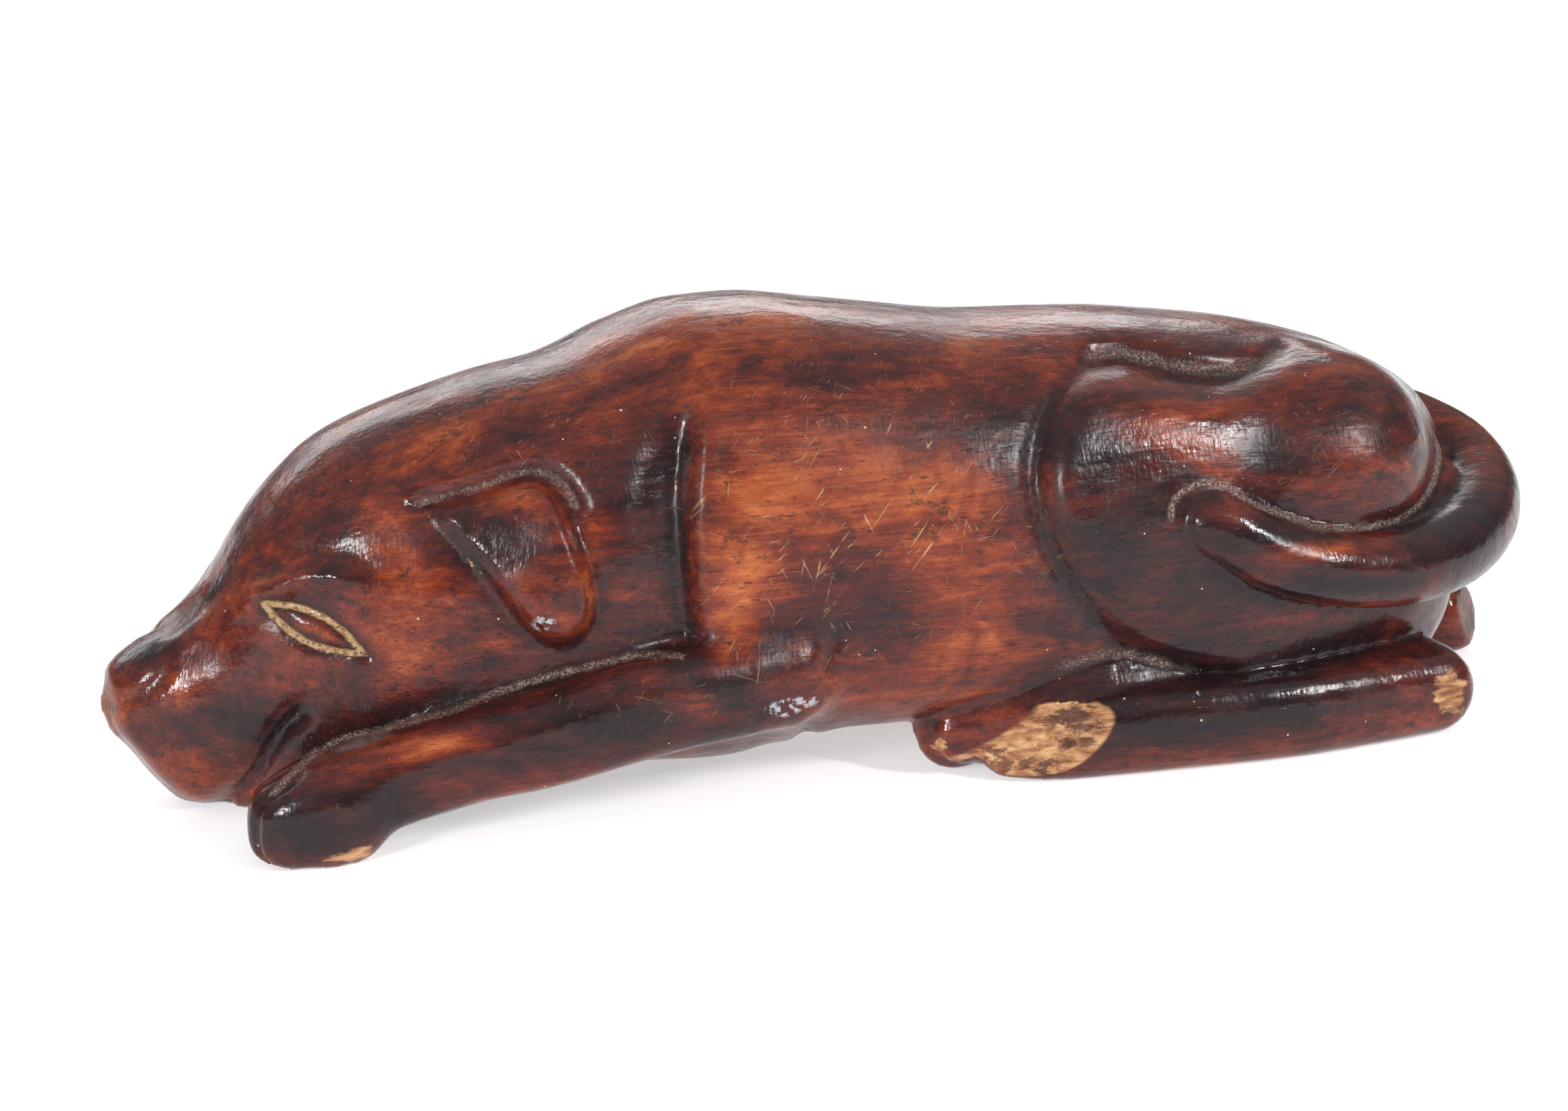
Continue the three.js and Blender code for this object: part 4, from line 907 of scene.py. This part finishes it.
# grey-brown dust that gathers in hollows, with grains and a few light specks
def makeDust(settings):
    numbers = {"Hollow": 0.0, "Grain": 1.0, "Specks": 0.5}
    tree, given = startGroup("settledDust", numbers, ("Mask", "Colour", "Speck"))
    place = given["Position"]
    coarse = noise(tree, place, settings["coarse"], 4.0, 0.65)
    grit = noise(tree, place, settings["grit"], 3.0, 0.7)
    ragged = maths(tree, "ADD", given["Hollow"], swing(tree, coarse, settings["raggedness"]))
    plain = minus(tree, 1.0, given["Grain"])
    grains = timesPlus(tree, fit(tree, grit, *settings["gritEdge"]), given["Grain"], plain)
    mask = times(tree, fit(tree, ragged, *settings["body"]), grains, clamp=True)
    cells = put(tree, "ShaderNodeTexVoronoi", {"Vector": place, "Scale": settings["speckCells"]}).outputs
    pick = put(tree, "ShaderNodeSeparateColor", {"Color": cells["Color"]}).outputs
    level = minus(tree, 1.0, times(tree, given["Specks"], settings["speckShare"]))
    dot = maths(tree, "LESS_THAN", cells["Distance"], times(tree, pick[1], settings["speckSize"]))
    speck = times(tree, maths(tree, "GREATER_THAN", pick[0], level), dot)
    return endGroup(tree, Mask=mask, Colour=ramp(tree, grit, settings["stops"]), Speck=speck)


wearSettings = {
    "patches": (0.5, 1.1, 1.1),
    "raggedness": 1.1,
    "edge": (0.42, 0.62),
    "fibres": (0.09, 1.9, 1.9),
    "stops": [(0.3, (0.13, 0.045, 0.02)), (0.48, (0.36, 0.165, 0.07)), (0.7, (0.66, 0.4, 0.2))],
}


# varnish rubbed away: Ridge says where, Amount how far
def makeWear(settings):
    tree, given = startGroup("rubbedWood", {"Ridge": 0.0, "Amount": 0.5}, ("Mask", "Colour"))
    place = given["Position"]
    patches = longNoise(tree, place, settings["patches"], 5.0, 0.65)
    pushed = timesPlus(tree, given["Ridge"], given["Amount"], swing(tree, patches, settings["raggedness"]))
    fibres = longNoise(tree, place, settings["fibres"], 5.0, 0.6)
    colour = ramp(tree, fibres, settings["stops"])
    return endGroup(tree, Mask=fit(tree, pushed, *settings["edge"]), Colour=colour)


scratchSettings = {
    # turn about Y, length and width of a stroke as noise scales, and how rare it is
    "strokes": [
        (0.9, 0.16, 5.0, 0.735), (-0.35, 0.16, 5.0, 0.745), (1.35, 0.16, 5.0, 0.75), (0.7, 0.5, 7.0, 0.72),
        (-1.1, 0.45, 7.0, 0.73), (0.15, 0.5, 8.0, 0.73)],
    "flatness": 2.5,
    "edge": (-0.03, 0.02),
    "breaks": ((0.55, 0.55, 0.55), 2.0, 0.6, (0.45, 0.6)),
}


# light hairline scratches in several directions on the X-Z plane
def makeScratches(settings):
    tree, given = startGroup("hairScratches", {"Amount": 0.5}, ("Mask",))
    place = given["Position"]
    below, above = settings["edge"]
    lines = []
    for turn, length, width, level in settings["strokes"]:
        turned = stretch(tree, place, (1, 1, 1), (0.0, turn, 0.0))
        scales = (length, settings["flatness"] * length, width)
        lines.append(spots(tree, turned, (scales, 1.5, 0.4, (level + below, level + above))))
    broken = times(tree, largest(tree, *lines), spots(tree, place, settings["breaks"]))
    return endGroup(tree, Mask=times(tree, broken, given["Amount"], clamp=True))


woodGrain, settledDust = makeWoodGrain(grainSettings), makeDust(dustSettings)
rubbedWood, hairScratches = makeWear(wearSettings), makeScratches(scratchSettings)

poreColour = (0.012, 0.007, 0.006)
varnish = {
    "stops": [
        (0.18, (0.016, 0.008, 0.009)), (0.3, (0.035, 0.011, 0.011)), (0.42, (0.075, 0.015, 0.012)),
        (0.55, (0.17, 0.028, 0.012)), (0.68, (0.3, 0.065, 0.02)), (0.82, (0.45, 0.13, 0.04))],
    "middle": 0.48,
    "toneLift": 0.33,
    "cloudLift": 0.8,
    "lineLift": 0.55,
    "mottle": (0.5, 1.0, 1.0),
    "mottleLift": 0.5,
    # painted shade: the colour value drops along the shoulder groove and in broad and small hollows
    "paintedShade": {"shoulderGrooveShade": 0.1, "broadHollowShade": 0.07, "creaseShadeAndDust": 0.07},
    "pores": 0.75,
    # dark marks: spots, share and colour
    "marks": [
        (((0.3, 0.5, 0.5), 7.0, 0.75, (0.575, 0.62)), 0.6, (0.018, 0.009, 0.01)),
        (((1.3, 2.4, 2.4), 3.0, 0.6, (0.66, 0.71)), 0.55, (0.012, 0.008, 0.008))],
    "edgeWear": 0.3,
    "wearAmount": 0.75,
    "streaks": ((0.08, 0.7, 0.7), 5.0, 0.7, (0.48, 0.55)),
    "streakShare": 0.8,
    "facetEdge": (0.25, 0.6),
    "scratchColour": (0.5, 0.3, 0.16),
    "eyeShade": (0.75, (0.022, 0.009, 0.009)),
    "lidLine": (0.88, (0.46, 0.28, 0.14)),
    "creaseDust": 0.3,
    "dustGrain": 0.55,
    "dustSpecks": 0.55,
    "dust": 0.8,
    "speck": (0.8, (0.62, 0.56, 0.47)),
    "clumps": ((1.6, 1.6, 1.6), 3.0, 0.6, (0.47, 0.55)),
    "fillerEdge": (0.3, 0.6),
    "filler": (0.85, (0.42, 0.42, 0.44)),
    "inside": [(0.3, (0.05, 0.02, 0.012)), (0.7, (0.13, 0.06, 0.032))],
    "smear": ((0.2, 0.35, 0.35), 4.0, 0.6, (0.35, 0.65)),
    "gloss": (0.13, 0.3),
    "scratchedRough": 0.34,
    "dullRough": 0.38,
    "coat": 0.03,
    "coatRough": 0.12,
    "ior": 1.5,
    "shine": 0.3,
    "bumpDepth": 0.00011,      # m
    # heights as shares of that depth
    "knife": ((0.22, 0.4, 0.4), 1.6),
    "chatter": ((3.2, 3.2, 0.4), 0.22),
    "grainHeight": 0.35,
    "dustHeight": 0.5,
    "lidLineDepth": 1.4,
    "scratchDepth": 0.4,
}

# the drawn lid lines: how they sway and wear, and how far they and their shade reach in mm
lidLines = {
    "sway": 1.3,
    "swayWidth": 0.35,
    "ends": (1.12, 1.0),
    "wear": ((2.6, 2.6, 2.6), 3.0, 0.7, (0.3, 0.5)),
    "wornTo": (0.3, 1.0),
    "width": (0.36, 0.16),
    "shadeWidth": (0.95, 0.3),
    "shadeEnds": (1.3, 0.95),
}


def inputMask(tree, name):
    return put(tree, "ShaderNodeAttribute", attribute_name=name).outputs["Fac"]


def positionInMm(tree):
    source = put(tree, "ShaderNodeTexCoord").outputs["Object"]
    return put(tree, "ShaderNodeVectorMath", {0: source, "Scale": 1 / mm}, operation="SCALE").outputs[0]


def startMaterial(name):
    material = bpy.data.materials.new(name)
    material.use_nodes = True
    tree = material.node_tree
    return material, tree, tree.nodes["Principled BSDF"].inputs


# the eye's two lid lines and the shade about them, drawn as the carving sheet sees them
def eyeLines(tree, place, lines, settings):
    fx, fy, fz = lines["drawnFrom"]
    (middleX, middleZ), (ux, uz), half = eyeAxis(lines["eye"])
    x, y, z = put(tree, "ShaderNodeSeparateXYZ", {0: place}).outputs
    depth = minus(tree, times(tree, maths(tree, "ABSOLUTE", y), -1.0), fy)
    t = maths(tree, "DIVIDE", lines["sheetY"] - fy, depth)
    sx = timesPlus(tree, minus(tree, x, fx), t, fx - middleX)
    sz = timesPlus(tree, minus(tree, z, fz), t, fz - middleZ)
    sway = swing(tree, noise(tree, place, settings["sway"], 2.0), settings["swayWidth"])
    along = timesPlus(tree, sx, ux, times(tree, sz, uz))
    across = maths(tree, "ADD", timesPlus(tree, sx, -uz, times(tree, sz, ux)), sway)
    share = maths(tree, "DIVIDE", along, half)
    lid = times(tree, minus(tree, 1.0, times(tree, share, share)), lines["eye"]["bow"])
    gap = maths(tree, "ABSOLUTE", minus(tree, maths(tree, "ABSOLUTE", across), lid))
    reach = maths(tree, "ABSOLUTE", share)
    worn = spots(tree, place, settings["wear"], *settings["wornTo"])
    within = fit(tree, reach, *settings["ends"])
    line = times(tree, times(tree, fit(tree, gap, *settings["width"]), within), worn)
    shade = times(tree, fit(tree, gap, *settings["shadeWidth"]), fit(tree, reach, *settings["shadeEnds"]))
    return line, shade


def makeVarnishedWood(settings):
    material, tree, shader = startMaterial("varnishedWood")
    place = positionInMm(tree)
    grain = useGroup(tree, woodGrain, Position=place)
    value = timesPlus(tree, inputMask(tree, "tone"), settings["toneLift"], settings["middle"])
    mottle = longNoise(tree, place, settings["mottle"], 7.0, 0.75)
    for wave, lift in ((grain["Clouds"], "cloudLift"), (grain["Lines"], "lineLift"), (mottle, "mottleLift")):
        value = maths(tree, "ADD", value, swing(tree, wave, settings[lift]))
    # painted shade in the shoulder groove and in the hollows
    for name, share in settings["paintedShade"].items():
        value = minus(tree, value, times(tree, inputMask(tree, name), share))
    colour = ramp(tree, value, settings["stops"])
    colour = layOver(tree, colour, grain["Pores"], settings["pores"], poreColour)
    for recipe, share, tint in settings["marks"]:
        colour = layOver(tree, colour, spots(tree, place, recipe), share, tint)

    # worn and broken wood
    ridge = largest(tree, times(tree, inputMask(tree, "edge"), settings["edgeWear"]), inputMask(tree, "bare"))
    wear = useGroup(tree, rubbedWood, Position=place, Ridge=ridge, Amount=settings["wearAmount"])
    colour = blend(tree, wear["Mask"], colour, wear["Colour"])
    clean = minus(tree, 1.0, times(tree, spots(tree, place, settings["streaks"]), settings["streakShare"]))
    facet = times(tree, fit(tree, inputMask(tree, "brokenFace"), *settings["facetEdge"]), clean)
    colour = blend(tree, facet, colour, wear["Colour"])
    scratches = useGroup(tree, hairScratches, Position=place, Amount=inputMask(tree, "scratched"))["Mask"]
    colour = blend(tree, scratches, colour, settings["scratchColour"])
    line, shade = eyeLines(tree, place, carving, lidLines)
    colour = layOver(tree, colour, shade, *settings["eyeShade"])
    colour = layOver(tree, colour, line, *settings["lidLine"])

    # dust, filler and the inside of the box
    creased = times(tree, inputMask(tree, "creaseShadeAndDust"), settings["creaseDust"])
    hollow = largest(tree, inputMask(tree, "dusty"), creased)
    dust = useGroup(tree, settledDust, Position=place, Hollow=hollow, Grain=settings["dustGrain"],
                    Specks=settings["dustSpecks"])
    colour = layOver(tree, colour, dust["Mask"], settings["dust"], dust["Colour"])
    colour = layOver(tree, colour, dust["Speck"], *settings["speck"])
    filled = fit(tree, inputMask(tree, "filler"), *settings["fillerEdge"])
    filler = times(tree, spots(tree, place, settings["clumps"]), filled)
    colour = layOver(tree, colour, filler, *settings["filler"])
    inside = inputMask(tree, "insideBox")
    colour = blend(tree, inside, colour, ramp(tree, grain["Lines"], settings["inside"]))
    tree.links.new(colour, shader["Base Color"])

    # gloss
    rough = spots(tree, place, settings["smear"], *settings["gloss"])
    rough = timesPlus(tree, inputMask(tree, "scratched"), settings["scratchedRough"], rough)
    dull = largest(tree, dust["Mask"], wear["Mask"], facet, filler, inside)
    rough = maths(tree, "ADD", rough, times(tree, dull, settings["dullRough"]), clamp=True)
    tree.links.new(rough, shader["Roughness"])
    tree.links.new(times(tree, minus(tree, 1.0, dull), settings["coat"]), shader["Coat Weight"])
    shader["Coat Roughness"].default_value = settings["coatRough"]
    shader["IOR"].default_value = settings["ior"]
    shader["Specular IOR Level"].default_value = settings["shine"]

    # marks of the knife, grain and dust
    height = times(tree, grain["Height"], settings["grainHeight"])
    for name, detail in (("knife", 3.0), ("chatter", 2.0)):
        scales, share = settings[name]
        height = timesPlus(tree, longNoise(tree, place, scales, detail), share, height)
    for mask, share in ((dust["Mask"], settings["dustHeight"]), (dust["Speck"], settings["dustHeight"]),
                        (line, -settings["lidLineDepth"]), (scratches, -settings["scratchDepth"])):
        height = timesPlus(tree, mask, share, height)
    bump = put(tree, "ShaderNodeBump", {"Height": height, "Distance": settings["bumpDepth"], "Strength": 1.0})
    tree.links.new(bump.outputs[0], shader["Normal"])
    return material


hound.data.materials.append(makeVarnishedWood(varnish))
report("hound material made")

lidFinish = {
    "cloudLift": 0.7,
    "lineLift": 0.35,
    "stops": [(0.3, (0.03, 0.01, 0.008)), (0.5, (0.085, 0.022, 0.013)), (0.7, (0.2, 0.06, 0.026))],
    "fineness": 1.1,
    "pores": 0.7,
    "ridge": 0.25,
    "wearAmount": 0.8,
    "wear": 0.7,
    "dustInputs": {"Hollow": 0.2, "Grain": 0.8, "Specks": 0.2},
    "dust": 0.6,
    "scratches": 0.6,
    "scratchColour": (0.4, 0.23, 0.12),
    "gloss": (0.34, 0.55),
    "dustRough": 0.3,
    "bumpDepth": 0.00008,      # m
}


def makeLidWood(settings):
    material, tree, shader = startMaterial("lidWood")
    place = positionInMm(tree)
    grain = useGroup(tree, woodGrain, Position=place, Fineness=settings["fineness"])
    lines = times(tree, grain["Lines"], settings["lineLift"])
    colour = ramp(tree, timesPlus(tree, grain["Clouds"], settings["cloudLift"], lines), settings["stops"])
    colour = layOver(tree, colour, grain["Pores"], settings["pores"], poreColour)
    wear = useGroup(tree, rubbedWood, Position=place, Ridge=settings["ridge"], Amount=settings["wearAmount"])
    colour = layOver(tree, colour, wear["Mask"], settings["wear"], wear["Colour"])
    dust = useGroup(tree, settledDust, Position=place, **settings["dustInputs"])
    colour = layOver(tree, colour, dust["Mask"], settings["dust"], dust["Colour"])
    scratches = useGroup(tree, hairScratches, Position=place, Amount=settings["scratches"])["Mask"]
    colour = blend(tree, scratches, colour, settings["scratchColour"])
    tree.links.new(colour, shader["Base Color"])
    rough = fit(tree, grain["Clouds"], 0.3, 0.7, *settings["gloss"])
    tree.links.new(timesPlus(tree, dust["Mask"], settings["dustRough"], rough), shader["Roughness"])
    bump = put(tree, "ShaderNodeBump", {"Height": grain["Height"], "Distance": settings["bumpDepth"]})
    tree.links.new(bump.outputs[0], shader["Normal"])
    return material


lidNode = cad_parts["lid"]
lidNode.data.materials.clear()
lidNode.data.materials.append(makeLidWood(lidFinish))
report("lid finished")


# floor and light
studio = {
    "floorHalf": 3.0,          # m
    "floorDrop": 0.0001,       # m under the part
    "floorColour": (0.92, 0.925, 0.95),
    "floorShade": 0.985,
    "floorRough": 0.7,
    "floorGlow": 0.5,
    "worldColour": (0.97, 0.985, 1.0),
    "worldPower": 0.6,
    "worldLow": 0.22,          # share of the colour that is left near the horizon
    "worldRise": (0.1, 0.75),
    "aim": (0, 0, 0.015),
    # place, size, power, all in metres and watts
    "leftBox": ((-0.66, -0.6, 0.3), (0.08, 0.22), 4.8),
    "rightBox": ((0.52, -0.58, 0.42), (0.06, 0.17), 3.8),
    "topBox": ((0.0, 0.75, 0.36), (0.9, 0.3), 2.6),
}


def addFloor(settings):
    material, tree, shader = startMaterial("paleFloor")
    fibre = noise(tree, positionInMm(tree), 0.8)
    pale = settings["floorColour"]
    shaded = tuple(v * settings["floorShade"] for v in pale)
    tree.links.new(blend(tree, fit(tree, fibre, 0.3, 0.7), shaded, pale), shader["Base Color"])
    shader["Roughness"].default_value = settings["floorRough"]
    shader["Emission Color"].default_value = (1.0, 1.0, 1.0, 1.0)
    shader["Emission Strength"].default_value = settings["floorGlow"]
    half = settings["floorHalf"]
    mesh = bpy.data.meshes.new("floor")
    corners = [(-half, -half, 0), (half, -half, 0), (half, half, 0), (-half, half, 0)]
    mesh.from_pydata(corners, [], [(0, 1, 2, 3)])
    mesh.materials.append(material)
    floor = bpy.data.objects.new("floor", mesh)
    floor.location.z = -settings["floorDrop"]
    scene.collection.objects.link(floor)


def addLamp(name, place, size, power, aim):
    data = bpy.data.lights.new(name, "AREA")
    data.shape = "RECTANGLE"
    data.size, data.size_y = size
    data.energy = power
    lamp = bpy.data.objects.new(name, data)
    lamp.location = place
    lamp.rotation_euler = (Vector(aim) - Vector(place)).to_track_quat("-Z", "Y").to_euler()
    scene.collection.objects.link(lamp)


def addWorld(settings):
    world = bpy.data.worlds.new("studio")
    world.use_nodes = True
    tree = world.node_tree
    background = tree.nodes["Background"]
    way = put(tree, "ShaderNodeTexCoord").outputs["Generated"]
    rise = put(tree, "ShaderNodeSeparateXYZ", {0: way}).outputs[2]
    sky = fit(tree, rise, *settings["worldRise"])
    low = tuple(v * settings["worldLow"] for v in settings["worldColour"])
    tree.links.new(blend(tree, sky, low, settings["worldColour"]), background.inputs["Color"])
    background.inputs["Strength"].default_value = settings["worldPower"]
    scene.world = world


addFloor(studio)
addWorld(studio)
for lampName in ("leftBox", "rightBox", "topBox"):
    addLamp(lampName, *studio[lampName], studio["aim"])
scene.view_settings.view_transform = "Standard"
report("floor and light")
